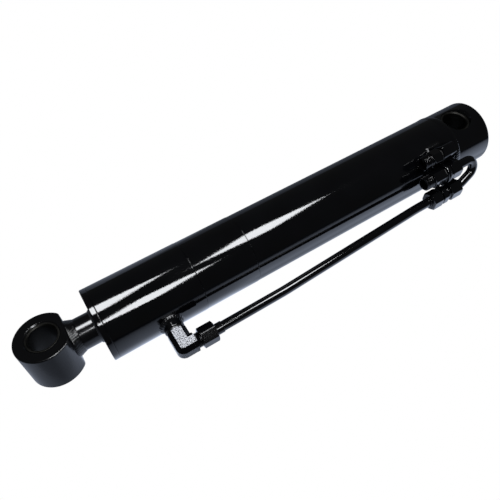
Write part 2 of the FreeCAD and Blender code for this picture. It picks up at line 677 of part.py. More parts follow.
# ---------------------------------------------------------------- write every sub-part
ELBOW_NUT_FRONT = 10.0
ELBOW_COLLAR = 19.0
UNION_NUT_FRONT = 6.2
U_NUT_FRONT = 8.5
BULKHEAD_NUT_FRONT = 6.5
SHORT_COLLAR = 7.5


def write_barrel():
    save("base_boss", base_boss())
    save("base_pin_bush", pin_bush(BASE_BUSH_LENGTH, 1.2))
    save("barrel_tube", barrel_tube())
    save("base_weld_bead", base_weld_bead())


def write_gland():
    save("head_gland", head_gland())
    for name, (start, end, depth) in GLAND_RINGS.items():
        save(name, ring(start, end, ROD_R + RUN_GAP, ROD_R + depth))
    save("rod_wiper_seal", wiper_seal())
    split = GLAND_SEAL_X[0] + GLAND_O_RING_WIDTH
    save("gland_o_ring", chamfered_ring(GLAND_SEAL_X[0], split, GLAND_SEAL_INNER_R, BORE_R, 1.2))
    save("gland_backup_ring", ring(split, GLAND_SEAL_X[1], GLAND_SEAL_INNER_R, BORE_R))


def write_rod_port():
    save("rod_port_boss", rod_port_boss())
    weld = fillet_weld(40.0, PORT_BOSS_R, 48.8, BARREL_HEAD_R, 5.2)
    save("rod_port_weld", moved(weld, ROD_PORT_X))
    save("rod_port_washer", washer_y())
    save("rod_port_elbow", rod_port_elbow())
    save("elbow_tube_nut", moved(mirrored_x(tube_nut(ELBOW_NUT_FRONT), ELBOW_MOUTH_X), 0, ROD_PORT_AXIS_Y))
    save("elbow_tube_sleeve", moved(mirrored_x(sleeve(ELBOW_COLLAR), ELBOW_MOUTH_X), 0, ROD_PORT_AXIS_Y))


def write_base_port():
    save("base_port_block", turned_about_barrel(base_port_block(), BLOCK_ANGLE))
    weld = rectangle_weld(BLOCK_X, BLOCK_HALF_WIDTH, 36.0, 47.0, 5.5)
    weld = turned_about_barrel(weld, BLOCK_ANGLE).cut(bracket_plate())
    save("base_port_weld", weld)
    save("base_port_adapter", at_block_port(base_port_adapter()))
    save("base_port_washer", at_block_port(adapter_washer()))
    save("line_bracket", bracket_plate())
    save("bulkhead_union", bulkhead_union())
    save("bulkhead_locknut", at_bulkhead(hexagon(LOCKNUT_X[0], LOCKNUT_X[1], NUT_FLATS, STUD_R + STUD_GAP)))
    rear = BULKHEAD_REAR_MOUTH_X
    save("bulkhead_tube_nut", at_bulkhead(mirrored_x(tube_nut(BULKHEAD_NUT_FRONT), rear)))
    save("bulkhead_tube_sleeve", at_bulkhead(mirrored_x(sleeve(SHORT_COLLAR), rear)))


def write_lines():
    save("line_tube", pipe(line_path()))
    save("u_bend_tube", pipe(u_bend_path()))
    save("union_body", union_body())
    save("union_front_nut", at_union(moved(tube_nut(UNION_NUT_FRONT), UNION_MOUTHS_X[1])))
    save("union_front_sleeve", at_union(moved(sleeve(SHORT_COLLAR), UNION_MOUTHS_X[1])))
    save("union_rear_nut", at_union(mirrored_x(tube_nut(U_NUT_FRONT), UNION_MOUTHS_X[0])))
    save("union_rear_sleeve", at_union(mirrored_x(sleeve(U_NUT_FRONT + 1), UNION_MOUTHS_X[0])))


def write_rod():
    save("piston_rod", piston_rod())
    save("rod_eye", rod_eye())
    save("rod_eye_weld", rod_eye_weld())
    save("rod_eye_bush", eye_placed(pin_bush(EYE_BUSH_LENGTH, 1.2)))
    save("piston", piston())
    start, end = STATIC_O_RING_X
    save("piston_static_o_ring", ring(start, end, STATIC_O_RING_R, PISTON_STUD_BORE_R))
    save("piston_lock_nut", hexagon(PISTON_NUT_X, PISTON_BACK_X, 38.1, PISTON_STUD_BORE_R))
    for name in ("piston_wear_ring_rear", "piston_wear_ring_front"):
        save(name, piston_ring(name, PISTON_RINGS[name][2] + RUN_GAP))
    save("piston_seal", piston_ring("piston_seal", ENERGISER_TOP_R))
    start, end, floor = PISTON_RINGS["piston_seal"]
    save("piston_seal_energiser", ring(
        start + RING_SIDE_GAP, end - RING_SIDE_GAP, floor + RUN_GAP, ENERGISER_TOP_R))


write_barrel()
write_gland()
write_rod_port()
write_base_port()
write_lines()
write_rod()
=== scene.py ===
import json
import math

import bmesh
import bpy
from mathutils import Matrix, Vector, noise


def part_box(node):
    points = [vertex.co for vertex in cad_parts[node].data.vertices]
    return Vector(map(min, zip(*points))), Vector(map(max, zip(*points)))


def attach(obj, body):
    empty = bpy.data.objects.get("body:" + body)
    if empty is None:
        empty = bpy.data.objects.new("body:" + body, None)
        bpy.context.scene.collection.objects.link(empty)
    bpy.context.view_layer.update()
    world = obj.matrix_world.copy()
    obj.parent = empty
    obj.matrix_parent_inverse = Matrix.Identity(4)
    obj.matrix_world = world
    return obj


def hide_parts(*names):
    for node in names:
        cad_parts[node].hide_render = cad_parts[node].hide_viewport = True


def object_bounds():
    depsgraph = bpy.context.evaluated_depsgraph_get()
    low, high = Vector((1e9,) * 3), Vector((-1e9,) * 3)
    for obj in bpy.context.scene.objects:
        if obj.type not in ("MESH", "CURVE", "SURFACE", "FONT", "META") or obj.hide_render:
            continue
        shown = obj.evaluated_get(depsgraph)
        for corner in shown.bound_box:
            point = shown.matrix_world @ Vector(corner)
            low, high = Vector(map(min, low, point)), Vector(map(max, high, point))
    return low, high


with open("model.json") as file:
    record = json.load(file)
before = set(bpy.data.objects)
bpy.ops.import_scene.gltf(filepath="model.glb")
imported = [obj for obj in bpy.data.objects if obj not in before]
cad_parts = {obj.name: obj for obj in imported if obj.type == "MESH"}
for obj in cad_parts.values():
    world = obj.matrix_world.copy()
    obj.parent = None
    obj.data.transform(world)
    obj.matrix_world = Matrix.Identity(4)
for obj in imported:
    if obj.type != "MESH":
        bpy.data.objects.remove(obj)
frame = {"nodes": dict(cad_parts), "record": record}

# A gloss black welded hydraulic cylinder lying on a pale floor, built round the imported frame.
# Lengths in this file are millimetres and are scaled to metres where a mesh is made.

MM = 0.001
SHARP_ANGLE = 34.0       # degrees between faces, above which their edge stays sharp
CAD_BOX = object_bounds()
SLOT_OF = {part["node"]: part["material_slot"] for part in frame["record"]["subparts"]}
BODY_OF = {
    node: body
    for body, nodes in frame["record"]["behaviour"]["bodies"].items()
    for node in nodes
}


def box_mm(node):
    low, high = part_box(node)
    return low / MM, high / MM


def span(node, axis=0):
    low, high = box_mm(node)
    return low[axis], high[axis]


# ---------------------------------------------------------------- mesh helpers
def linked(name, data):
    """Object of this name in the scene."""
    obj = bpy.data.objects.new(name, data)
    bpy.context.scene.collection.objects.link(obj)
    return obj


def make_object(name, vertices, faces, place=None, sharp=SHARP_ANGLE):
    """Mesh object from millimetre points, with outward faces and smooth shading."""
    mesh = bpy.data.meshes.new(name)
    mesh.from_pydata([Vector(v) for v in vertices], [], faces)
    if place is not None:
        mesh.transform(place)
    mesh.transform(Matrix.Scale(MM, 4))
    tidy_mesh(mesh, sharp)
    return linked(name, mesh)


def tidy_mesh(mesh, sharp=SHARP_ANGLE):
    """Merges doubled points, turns the faces outwards and shades smooth between sharp edges."""
    work = bmesh.new()
    work.from_mesh(mesh)
    bmesh.ops.remove_doubles(work, verts=work.verts, dist=1e-7)
    bmesh.ops.recalc_face_normals(work, faces=work.faces)
    work.to_mesh(mesh)
    work.free()
    mesh.shade_smooth()
    mesh.set_sharp_from_angle(angle=math.radians(sharp))


def rounded(points, radius, closed=True, steps=4):
    """Outline of (along, radius) points whose corners become small arcs.

    A point may carry its own corner radius as a third number.
    """
    result = []
    count = len(points)
    for index, point in enumerate(points):
        here = Vector(point[:2])
        corner = point[2] if len(point) > 2 else radius
        if not closed and index in (0, count - 1):
            result.append(tuple(here))
            continue
        before = Vector(points[index - 1][:2]) - here
        after = Vector(points[(index + 1) % count][:2]) - here
        turn = math.pi - before.angle(after)
        if turn < 0.05 or corner <= 0:
            result.append(tuple(here))
            continue
        reach = min(corner * math.tan(turn / 2), 0.48 * before.length, 0.48 * after.length)
        start = here + before.normalized() * reach
        end = here + after.normalized() * reach
        for step in range(steps + 1):
            t = step / steps
            result.append(tuple((1 - t) ** 2 * start + 2 * t * (1 - t) * here + t * t * end))
    return result


def stretches(points, closed):
    """Both ends of each stretch of an outline."""
    ends = points[1:] + points[:1] if closed else points[1:]
    return [(Vector(a[:2]), Vector(b[:2])) for a, b in zip(points, ends)]


def dense(points, step, closed=True):
    """The same outline with no stretch longer than step."""
    result = []
    for a, b in stretches(points, closed):
        pieces = max(1, math.ceil((b - a).length / step))
        result += [tuple(a.lerp(b, k / pieces)) for k in range(pieces)]
    if not closed:
        result.append(tuple(points[-1][:2]))
    return result


def held(points, gap=0.25, closed=True):
    """The same outline with a point just inside each end of a long stretch, so flats shade flat."""
    result = []
    for a, b in stretches(points, closed):
        length = (b - a).length
        result.append(tuple(a))
        if length > 4 * gap:
            result += [tuple(a.lerp(b, gap / length)), tuple(b.lerp(a, gap / length))]
    if not closed:
        result.append(tuple(points[-1][:2]))
    return result


def lathe(name, outline, segments=144, shape=None, closed=True, place=None, sharp=SHARP_ANGLE):
    """Surface turned about X. shape(x, radius, angle) may change a point's radius."""
    outline = held(outline, closed=closed)
    vertices = []
    rows = []
    for x, radius in outline:
        if radius <= 0:
            rows.append([len(vertices)])
            vertices.append((x, 0, 0))
            continue
        row = []
        for step in range(segments):
            angle = 2 * math.pi * step / segments
            here = shape(x, radius, angle) if shape else radius
            row.append(len(vertices))
            vertices.append((x, here * math.cos(angle), here * math.sin(angle)))
        rows.append(row)
    faces = []
    pairs = list(zip(rows, rows[1:]))
    if closed:
        pairs.append((rows[-1], rows[0]))
    for a, b in pairs:
        for step in range(segments):
            after = (step + 1) % segments
            if len(a) == 1 and len(b) > 1:
                faces.append((a[0], b[after], b[step]))
            elif len(b) == 1 and len(a) > 1:
                faces.append((a[step], a[after], b[0]))
            elif len(a) > 1:
                faces.append((a[step], a[after], b[after], b[step]))
    return make_object(name, vertices, faces, place, sharp)


def ring_faces(rows):
    """Quads of a closed tube, from rows that run round it and meet again at the first row."""
    faces = []
    for a, b in zip(rows, rows[1:] + rows[:1]):
        for step in range(len(a)):
            after = (step + 1) % len(a)
            faces.append((a[step], a[after], b[after], b[step]))
    return faces


def at(y=0.0, z=0.0, x=0.0):
    return Matrix.Translation((x, y, z))


def flipped_at(x, y=0.0, z=0.0):
    """Places a shape built along +X so that it points along -X."""
    return Matrix.Translation((x, y, z)) @ Matrix.Rotation(math.pi, 4, "Z")


ALONG_Y = Matrix.Rotation(math.radians(90), 4, "Z")
ALONG_Z = Matrix.Rotation(math.radians(-90), 4, "Y")


def join(name, parts):
    """One object from several, keeping their shapes where they are."""
    mesh = bpy.data.meshes.new(name)
    work = bmesh.new()
    for part in parts:
        work.from_mesh(part.data)
        bpy.data.objects.remove(part)
    work.to_mesh(mesh)
    work.free()
    mesh.shade_smooth()
    mesh.set_sharp_from_angle(angle=math.radians(SHARP_ANGLE))
    return linked(name, mesh)


def applied(obj):
    """Replaces an object's mesh by its result after modifiers."""
    graph = bpy.context.evaluated_depsgraph_get()
    graph.update()
    mesh = bpy.data.meshes.new_from_object(obj.evaluated_get(graph))
    obj.modifiers.clear()
    obj.data = mesh
    return obj


def subtract(obj, cutters):
    for cutter in cutters:
        change = obj.modifiers.new("cut", "BOOLEAN")
        change.operation = "DIFFERENCE"
        change.solver = "EXACT"
        change.object = cutter
    applied(obj)
    for cutter in cutters:
        bpy.data.objects.remove(cutter)
    return obj


# ---------------------------------------------------------------- shape functions
def ripple(angle, x, radius, pitch):
    """Stacked-ring pattern of a weld bead, from 0 to 1."""
    phase = angle * radius / pitch
    wander = 0.35 * noise.noise(Vector((math.cos(angle) * 3, math.sin(angle) * 3, x * 0.2)))
    crest = abs(math.sin(math.pi * (phase + wander)))
    return crest ** 0.6


def hex_radius(angle, flats):
    lean = (math.degrees(angle) + 30) % 60 - 30
    return min(flats / 2 / math.cos(math.radians(lean)), 0.983 * flats / math.sqrt(3))


THREAD_PITCH = 1.5
THREAD_DEPTH = 0.85


def thread_cut(x, angle):
    """Depth of a right-hand thread at a place on the stud."""
    phase = (x / THREAD_PITCH - angle / (2 * math.pi)) % 1.0
    return THREAD_DEPTH * (1 - min(1.0, 2.6 * abs(phase - 0.5))) ** 0.8


# ---------------------------------------------------------------- materials
def shader(name):
    material = bpy.data.materials.new(name)
    material.use_nodes = True
    nodes = material.node_tree.nodes
    return material, nodes, material.node_tree.links, nodes["Principled BSDF"]


def object_coords(nodes):
    return nodes.new("ShaderNodeTexCoord").outputs["Object"]


def noise_node(nodes, links, coords, scale, detail=3.0, rough=0.5):
    node = nodes.new("ShaderNodeTexNoise")
    node.inputs["Scale"].default_value = scale
    node.inputs["Detail"].default_value = detail
    node.inputs["Roughness"].default_value = rough
    links.new(coords, node.inputs["Vector"])
    return node.outputs["Fac"]


def stretched(nodes, links, coords, scale):
    node = nodes.new("ShaderNodeMapping")
    node.inputs["Scale"].default_value = scale
    links.new(coords, node.inputs["Vector"])
    return node.outputs["Vector"]


def map_range(nodes, links, value, low, high, to_low, to_high):
    node = nodes.new("ShaderNodeMapRange")
    node.inputs["From Min"].default_value = low
    node.inputs["From Max"].default_value = high
    node.inputs["To Min"].default_value = to_low
    node.inputs["To Max"].default_value = to_high
    links.new(value, node.inputs["Value"])
    return node.outputs["Result"]


def calculated(nodes, links, operation, first, second):
    node = nodes.new("ShaderNodeMath")
    node.operation = operation
    links.new(first, node.inputs[0])
    links.new(second, node.inputs[1])
    return node.outputs[0]


def mixed_colour(nodes, links, factor, first, second):
    node = nodes.new("ShaderNodeMix")
    node.data_type = "RGBA"
    links.new(factor, node.inputs["Factor"])
    node.inputs["A"].default_value = (*first, 1)
    node.inputs["B"].default_value = (*second, 1)
    return node.outputs["Result"]


def bump_chain(nodes, links, bsdf, layers):
    """Bumps laid over one another: (height output, strength, distance in metres)."""
    last = None
    for height, strength, distance in layers:
        node = nodes.new("ShaderNodeBump")
        node.inputs["Strength"].default_value = strength
        node.inputs["Distance"].default_value = distance
        links.new(height, node.inputs["Height"])
        if last is not None:
            links.new(last, node.inputs["Normal"])
        last = node.outputs["Normal"]
    links.new(last, bsdf.inputs["Normal"])


PAINT_DARK = (0.0006, 0.0006, 0.0008)
PAINT_LIGHT = (0.0015, 0.0016, 0.0022)


def paint(name, rough_low, rough_high, peel, turning=0.0, cast=0.0):
    """Gloss black enamel: orange peel, and turned or cast metal showing through."""
    material, nodes, links, bsdf = shader(name)
    coords = object_coords(nodes)
    cloud = noise_node(nodes, links, coords, 26.0, 4.0)
    links.new(mixed_colour(nodes, links, cloud, PAINT_DARK, PAINT_LIGHT), bsdf.inputs["Base Color"])
    links.new(map_range(nodes, links, cloud, 0.3, 0.7, rough_low, rough_high), bsdf.inputs["Roughness"])
    bsdf.inputs["IOR"].default_value = 1.5
    layers = [(noise_node(nodes, links, coords, 420.0, 2.0), peel, 0.0006)]
    if turning:
        lines = stretched(nodes, links, coords, (1500.0, 18.0, 18.0))
        layers.append((noise_node(nodes, links, lines, 1.0, 3.0, 0.6), turning, 0.0004))
    if cast:
        layers.append((noise_node(nodes, links, coords, 1300.0, 4.0, 0.7), cast, 0.0009))
    bump_chain(nodes, links, bsdf, layers)
    return material


# Light grey painted onto the forging's upward faces as a highlight.
UPWARD_HIGHLIGHT_COLOUR = (0.44, 0.45, 0.48)
CAST_SPECULAR = 0.2


def paint_upward_face_highlight(material):
    """Painted highlight on the faces of a forging that point up: light grey, broken by grit noise, mixed
    into the colour; the paint's specular is dulled too.
    """
    nodes = material.node_tree.nodes
    links = material.node_tree.links
    bsdf = nodes["Principled BSDF"]
    bsdf.inputs["Specular IOR Level"].default_value = CAST_SPECULAR
    coords = object_coords(nodes)
    facing = nodes.new("ShaderNodeSeparateXYZ")
    links.new(nodes.new("ShaderNodeNewGeometry").outputs["Normal"], facing.inputs["Vector"])
    # Painted highlight mask: faces whose normal points up.
    up = map_range(nodes, links, facing.outputs["Z"], 0.90, 0.97, 0.0, 1.0)
    grit = noise_node(nodes, links, coords, 620.0, 5.0, 0.7)
    highlight_grit = map_range(nodes, links, grit, 0.43, 0.50, 0.0, 1.0)
    colour = nodes.new("ShaderNodeMix")
    colour.data_type = "RGBA"
    links.new(calculated(nodes, links, "MULTIPLY", up, highlight_grit), colour.inputs["Factor"])
    links.new(bsdf.inputs["Base Color"].links[0].from_socket, colour.inputs["A"])
    colour.inputs["B"].default_value = (*UPWARD_HIGHLIGHT_COLOUR, 1)
    links.new(colour.outputs["Result"], bsdf.inputs["Base Color"])


def steel(name, colour, dark, rough, lines_scale, lines):
    """Bare metal with machining lines and slight staining."""
    material, nodes, links, bsdf = shader(name)
    coords = object_coords(nodes)
    cloud = noise_node(nodes, links, coords, 60.0, 5.0, 0.6)
    links.new(mixed_colour(nodes, links, cloud, dark, colour), bsdf.inputs["Base Color"])
    links.new(map_range(nodes, links, cloud, 0.3, 0.7, rough * 0.8, rough * 1.25), bsdf.inputs["Roughness"])
    bsdf.inputs["Metallic"].default_value = 1.0
    grooves = stretched(nodes, links, coords, lines_scale)
    bump_chain(nodes, links, bsdf, [(noise_node(nodes, links, grooves, 1.0, 2.0), lines, 0.0003)])
    return material


def moulded(name, colour, dark, rough):
    """Seal material: faint mottling and a moulded sheen."""
    material, nodes, links, bsdf = shader(name)
    coords = object_coords(nodes)
    cloud = noise_node(nodes, links, coords, 240.0, 4.0)
    links.new(mixed_colour(nodes, links, cloud, dark, colour), bsdf.inputs["Base Color"])
    links.new(map_range(nodes, links, cloud, 0.3, 0.7, rough * 0.85, rough * 1.2), bsdf.inputs["Roughness"])
    bump_chain(nodes, links, bsdf, [(noise_node(nodes, links, coords, 900.0, 2.0), 0.12, 0.0003)])
    return material


OVERSPRAY_EDGE = 0.5402      # the rod is painted from here to the eye, in metres
OVERSPRAY_SOFT = 0.0016
OVERSPRAY_RAGGED = 0.004
CHROME_COLOUR = (0.62, 0.63, 0.66)


def rod_finish():
    """Hard chrome with ground lines, under black overspray beside the eye."""
    material, nodes, links, bsdf = shader("chrome_and_overspray")
    coords = object_coords(nodes)
    split = nodes.new("ShaderNodeSeparateXYZ")
    links.new(coords, split.inputs["Vector"])
    speckle = noise_node(nodes, links, coords, 900.0, 3.0)
    ragged = nodes.new("ShaderNodeMath")
    ragged.operation = "MULTIPLY_ADD"
    links.new(speckle, ragged.inputs[0])
    ragged.inputs[1].default_value = OVERSPRAY_RAGGED
    links.new(split.outputs["X"], ragged.inputs[2])
    edge = OVERSPRAY_EDGE + OVERSPRAY_RAGGED / 2
    painted = map_range(nodes, links, ragged.outputs[0], edge - OVERSPRAY_SOFT, edge, 0.0, 1.0)
    colour = mixed_colour(nodes, links, painted, CHROME_COLOUR, PAINT_LIGHT)
    links.new(colour, bsdf.inputs["Base Color"])
    links.new(map_range(nodes, links, painted, 0.0, 1.0, 1.0, 0.0), bsdf.inputs["Metallic"])
    links.new(map_range(nodes, links, painted, 0.0, 1.0, 0.09, 0.16), bsdf.inputs["Roughness"])
    lines = stretched(nodes, links, coords, (2600.0, 30.0, 30.0))
    bump_chain(nodes, links, bsdf, [
        (noise_node(nodes, links, lines, 1.0, 2.0), 0.03, 0.0003),
        (noise_node(nodes, links, coords, 700.0, 2.0), 0.05, 0.0003)])
    return material


TURNED_PAINT = paint("black_paint_turned", 0.045, 0.075, 0.05, turning=0.05)
SMOOTH_PAINT = paint("black_paint_smooth", 0.06, 0.10, 0.05)
SATIN_PAINT = paint("black_paint_satin", 0.14, 0.20, 0.14)
CAST_PAINT_TOP_HIGHLIGHT = paint("black_paint_cast_top_highlight", 0.12, 0.22, 0.10, cast=0.3)
# The forged elbow's paint carries a painted highlight on its upward faces.
paint_upward_face_highlight(CAST_PAINT_TOP_HIGHLIGHT)
WELD_PAINT = paint("black_paint_weld", 0.16, 0.26, 0.25, cast=0.15)
CHROME = rod_finish()
BUSH_STEEL = steel(
    "bush_steel", (0.030, 0.029, 0.027), (0.010, 0.010, 0.009), 0.42, (40.0, 40.0, 1500.0), 0.12)
BARE_STEEL = steel("bare_steel", (0.40, 0.40, 0.41), (0.22, 0.21, 0.20), 0.34, (900.0, 60.0, 60.0), 0.10)
WASHER_STEEL = steel(
    "washer_steel", (0.10, 0.10, 0.10), (0.03, 0.03, 0.03), 0.35, (200.0, 200.0, 200.0), 0.10)
PISTON_IRON = steel("piston_iron", (0.24, 0.24, 0.25), (0.12, 0.12, 0.12), 0.42, (1200.0, 40.0, 40.0), 0.15)
RUBBER = moulded("nitrile_rubber", (0.020, 0.020, 0.021), (0.010, 0.010, 0.010), 0.55)
URETHANE = moulded("polyurethane_seal", (0.020, 0.022, 0.026), (0.009, 0.010, 0.012), 0.38)
BRONZE_PTFE = moulded("bronze_ptfe", (0.23, 0.13, 0.06), (0.14, 0.08, 0.04), 0.45)
NYLON = moulded("nylon_bearing", (0.50, 0.42, 0.26), (0.36, 0.29, 0.17), 0.50)
PTFE = moulded("ptfe_backup", (0.78, 0.78, 0.75), (0.66, 0.66, 0.62), 0.45)
INNER_MATERIAL = {
    "black_paint": SMOOTH_PAINT, "chrome_rod": CHROME, "bush_steel": BUSH_STEEL, "bare_steel": BARE_STEEL,
    "washer_steel": WASHER_STEEL, "piston_iron": PISTON_IRON, "nitrile_rubber": RUBBER,
    "polyurethane_seal": URETHANE, "bronze_ptfe": BRONZE_PTFE, "nylon_bearing": NYLON, "ptfe_backup": PTFE,
}


def stand_for(piece, node, material):
    """The piece takes a CAD node's place, body and finish."""
    piece.data.materials.clear()
    piece.data.materials.append(material)
    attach(piece, BODY_OF[node])
    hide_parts(node)
    return piece


# ---------------------------------------------------------------- barrel
BARREL_BASE_R = 43.9
BARREL_MIDDLE_R = 44.2
BARREL_HEAD_R = 44.45
BORE_R = 38.1
RING_NEAR_BASE_X = 346.8
RING_NEAR_HEAD_X = 418.4
BOSS_SEAM_X = 26.0
GLAND_THREAD_X = 505.0
GLAND_THREAD_R = 40.05


def ring_step(x, before, after):
    """A fine tool groove beside a step in the barrel's diameter."""
    return [(x - 0.45, before, 0.08), (x, before - 0.4, 0.06), (x + 0.45, after, 0.12)]


def barrel():
    end = span("barrel_tube")[1]
    outline = [
        (BOSS_SEAM_X, BORE_R), (BOSS_SEAM_X, BARREL_BASE_R - 4), (BOSS_SEAM_X + 4, BARREL_BASE_R)]
    outline += ring_step(RING_NEAR_BASE_X, BARREL_BASE_R, BARREL_MIDDLE_R)
    outline += ring_step(RING_NEAR_HEAD_X, BARREL_MIDDLE_R, BARREL_HEAD_R)
    outline += [
        (end, BARREL_HEAD_R, 0.6), (end, GLAND_THREAD_R), (GLAND_THREAD_X, GLAND_THREAD_R),
        (GLAND_THREAD_X - 1.2, BORE_R)]
    return lathe("barrel_tube_painted", rounded(outline, 0.3), 320)


def base_boss():
    start, end = span("base_boss")
    radius = span("base_boss", 1)[1]
    outline = [
        (start, 0), (start, radius, 1.8), (BOSS_SEAM_X - 4, radius), (BOSS_SEAM_X, radius - 4),
        (BOSS_SEAM_X, BORE_R - 0.05), (end, BORE_R - 0.05), (end, 0)]
    body = lathe("base_boss_painted", rounded(outline, 0.3, closed=False, steps=6), 320, closed=False)
    bore_r = span("base_pin_bush")[1]
    reach = radius + 8
    mouth = radius - 5.2
    cutter = [
        (-reach, 0), (-reach, bore_r + 6.0), (-mouth, bore_r, 6.0), (mouth, bore_r, 6.0),
        (reach, bore_r + 6.0), (reach, 0)]
    profile = rounded(cutter, 0, closed=False, steps=6)
    bore = lathe("base_bore_cutter", profile, 192, closed=False, place=ALONG_Z)
    subtract(body, [bore])
    tidy_mesh(body.data, 30)
    return body


def ring_weld(name, outline, pitch, depth, floor_r, segments=540):
    """Turned weld bead whose crown carries stacked ripples and a slow wander."""
    def shape(x, radius, angle):
        crown = max(0.0, min(1.0, (radius - floor_r) / 0.8))
        slow = noise.noise(Vector((math.cos(angle) * 2.2, math.sin(angle) * 2.2, x * 0.05)))
        return radius - crown * (depth * (1 - ripple(angle, x, radius, pitch)) + 0.25 * (1 + slow))
    return lathe(name, outline, segments, shape, sharp=60)


WELD_TOE_R = 43.35


def base_weld():
    """Low round bead between the boss and the tube."""
    start, end = span("base_weld_bead")
    crown = span("base_weld_bead", 1)[1] - 0.35
    middle = (start + end) / 2
    half = (end - start) / 2
    arc = []
    for step in range(13):
        t = step / 12
        x = start + t * (end - start)
        arc.append((x, WELD_TOE_R + (crown - WELD_TOE_R) * (1 - ((x - middle) / half) ** 2) ** 0.5))
    arc[-1] = (end, BARREL_BASE_R)
    outline = [(BOSS_SEAM_X, 40.2)] + arc
    return ring_weld("base_weld_painted", outline, 3.4, 0.25, 43.6)


SEAL_BORE_R = 19.4
SPANNER_CIRCLE_R = 33.0


def gland():
    """Head gland with its wiper seat and four spanner holes in the face."""
    start, end = span("head_gland")
    seam = span("barrel_tube")[1]
    outline = [
        (start, SEAL_BORE_R), (start, 33.0), (474.0, 33.0), (474.0, BORE_R - 0.05),
        (GLAND_THREAD_X, BORE_R - 0.05),
        (GLAND_THREAD_X + 2, 40.0), (seam, 40.0), (seam, BARREL_HEAD_R, 0.7), (end, BARREL_HEAD_R, 1.4),
        (end, 22.3, 0.3), (536.2, 22.3), (536.2, 24.05), (528.5, 24.05), (528.5, SEAL_BORE_R)]
    body = lathe("head_gland_painted", rounded(outline, 0.3), 320)
    cutters = []
    for step in range(4):
        angle = math.radians(45 + 90 * step)
        hole = [(end - 5, 0), (end - 5, 3.0), (end - 0.5, 3.0), (end + 1, 4.2), (end + 1, 0)]
        place = at(SPANNER_CIRCLE_R * math.cos(angle), SPANNER_CIRCLE_R * math.sin(angle))
        cutters.append(lathe("spanner_hole", hole, 48, closed=False, place=place))
    subtract(body, cutters)
    tidy_mesh(body.data, 30)
    return body


def wiper():
    start, end = span("rod_wiper_seal")
    outline = [
        (start, 19.9), (start + 5, 19.9), (end, 19.1, 0.1), (end, 19.8, 0.3), (537.2, 21.6, 0.8),
        (537.2, 24.0), (start, 24.0)]
    return lathe("rod_wiper_lip", rounded(outline, 0.2), 160)


# ---------------------------------------------------------------- rod, eye and bushes
ROD_R = 19.05
STUD_R = 12.65


def rod():
    start, end = span("piston_rod")
    shoulder = span("piston")[1]
    outline = [
        (start, 0), (start, STUD_R, 1.5), (shoulder, STUD_R, 0.2), (shoulder, ROD_R, 0.8), (end, ROD_R),
        (end, 0)]
    return lathe("piston_rod_polished", rounded(outline, 0.3, closed=False), 192, closed=False)


EYE_X = 592.3
EYE_TURN = math.radians(10)
EYE_R = 31.75
EYE_FLAT = 25.0
EYE_BLEND = 0.7          # how softly the flat runs into the circle
EYE_HALF = 26.6
BUSH_R = 19.05
PIN_HOLE_R = 15.925
BASE_BUSH_LENGTH = 76.0
EYE_BUSH_LENGTH = 51.6


def eye_place():
    return Matrix.Translation((EYE_X, 0, 0)) @ Matrix.Rotation(EYE_TURN, 4, "X") @ ALONG_Z


def eye_radius(angle):
    """Outline of the eye round its pin: a circle with a flat towards the rod."""
    toward_rod = math.sin(angle)
    if toward_rod <= 0:
        return EYE_R
    flat = EYE_FLAT / toward_rod
    if flat >= 2 * EYE_R:
        return EYE_R
    return -EYE_BLEND * math.log(math.exp(-EYE_R / EYE_BLEND) + math.exp(-flat / EYE_BLEND))


def rod_eye():
    half = EYE_HALF
    bore = BUSH_R
    outline = [
        (-half, bore + 1.3, 0.4), (-half, EYE_R, 1.5), (half, EYE_R, 1.5), (half, bore + 1.3, 0.4),
        (half - 1.3, bore, 0.3), (-half + 1.3, bore, 0.3)]

    def shape(x, radius, angle):
        rim = max(0.0, min(1.0, (radius - bore - 4) / 6))
        return radius - rim * (EYE_R - eye_radius(angle))

    profile = dense(rounded(outline, 0.4, steps=5), 4.0)
    return lathe("rod_eye_painted", profile, 360, shape, place=eye_place())


def pin_bush(name, length, place):
    half = length / 2
    inner = PIN_HOLE_R
    outline = [
        (-half, inner + 1.2, 0.3), (-half, BUSH_R, 0.3), (half, BUSH_R, 0.3), (half, inner + 1.2, 0.3),
        (half - 1.2, inner, 0.3), (-half + 1.2, inner, 0.3)]
    return lathe(name, rounded(outline, 0.3), 192, place=place)


def eye_weld():
    start = span("rod_eye_weld")[0]
    flat = EYE_X - EYE_FLAT
    outline = [
        (start, ROD_R), (start + 1.2, ROD_R + 0.9), (start + 3.4, ROD_R + 1.7), (start + 6.0, ROD_R + 2.7),
        (flat - 1.2, 22.3), (flat + 0.2, 22.6), (flat + 1.6, 22.5), (flat + 1.6, ROD_R), (flat - 3, ROD_R)]
    return ring_weld("rod_eye_weld_painted", dense(outline, 0.8), 3.0, 0.3, ROD_R + 0.2)


# ---------------------------------------------------------------- fittings
CONE_R = 7.1
PASSAGE_R = 4.5
THREAD_R = 9.0
THREAD_HOLE_R = 9.05
THREAD_CHAMFER = 0.9
SEAT_R = 6.05            # socket for the tube's end
SEAT_DEPTH = 7.5
CONE_DEPTH = 5.0
NUT_BACK_X = -9.5
NUT_SKIN_R = 9.6         # a nut is hexagonal outside this radius
NUT_FLATS = 22.0
ADAPTER_FLATS = 19.0
BULKHEAD_FLATS = 20.0
UNION_FLATS = 21.0


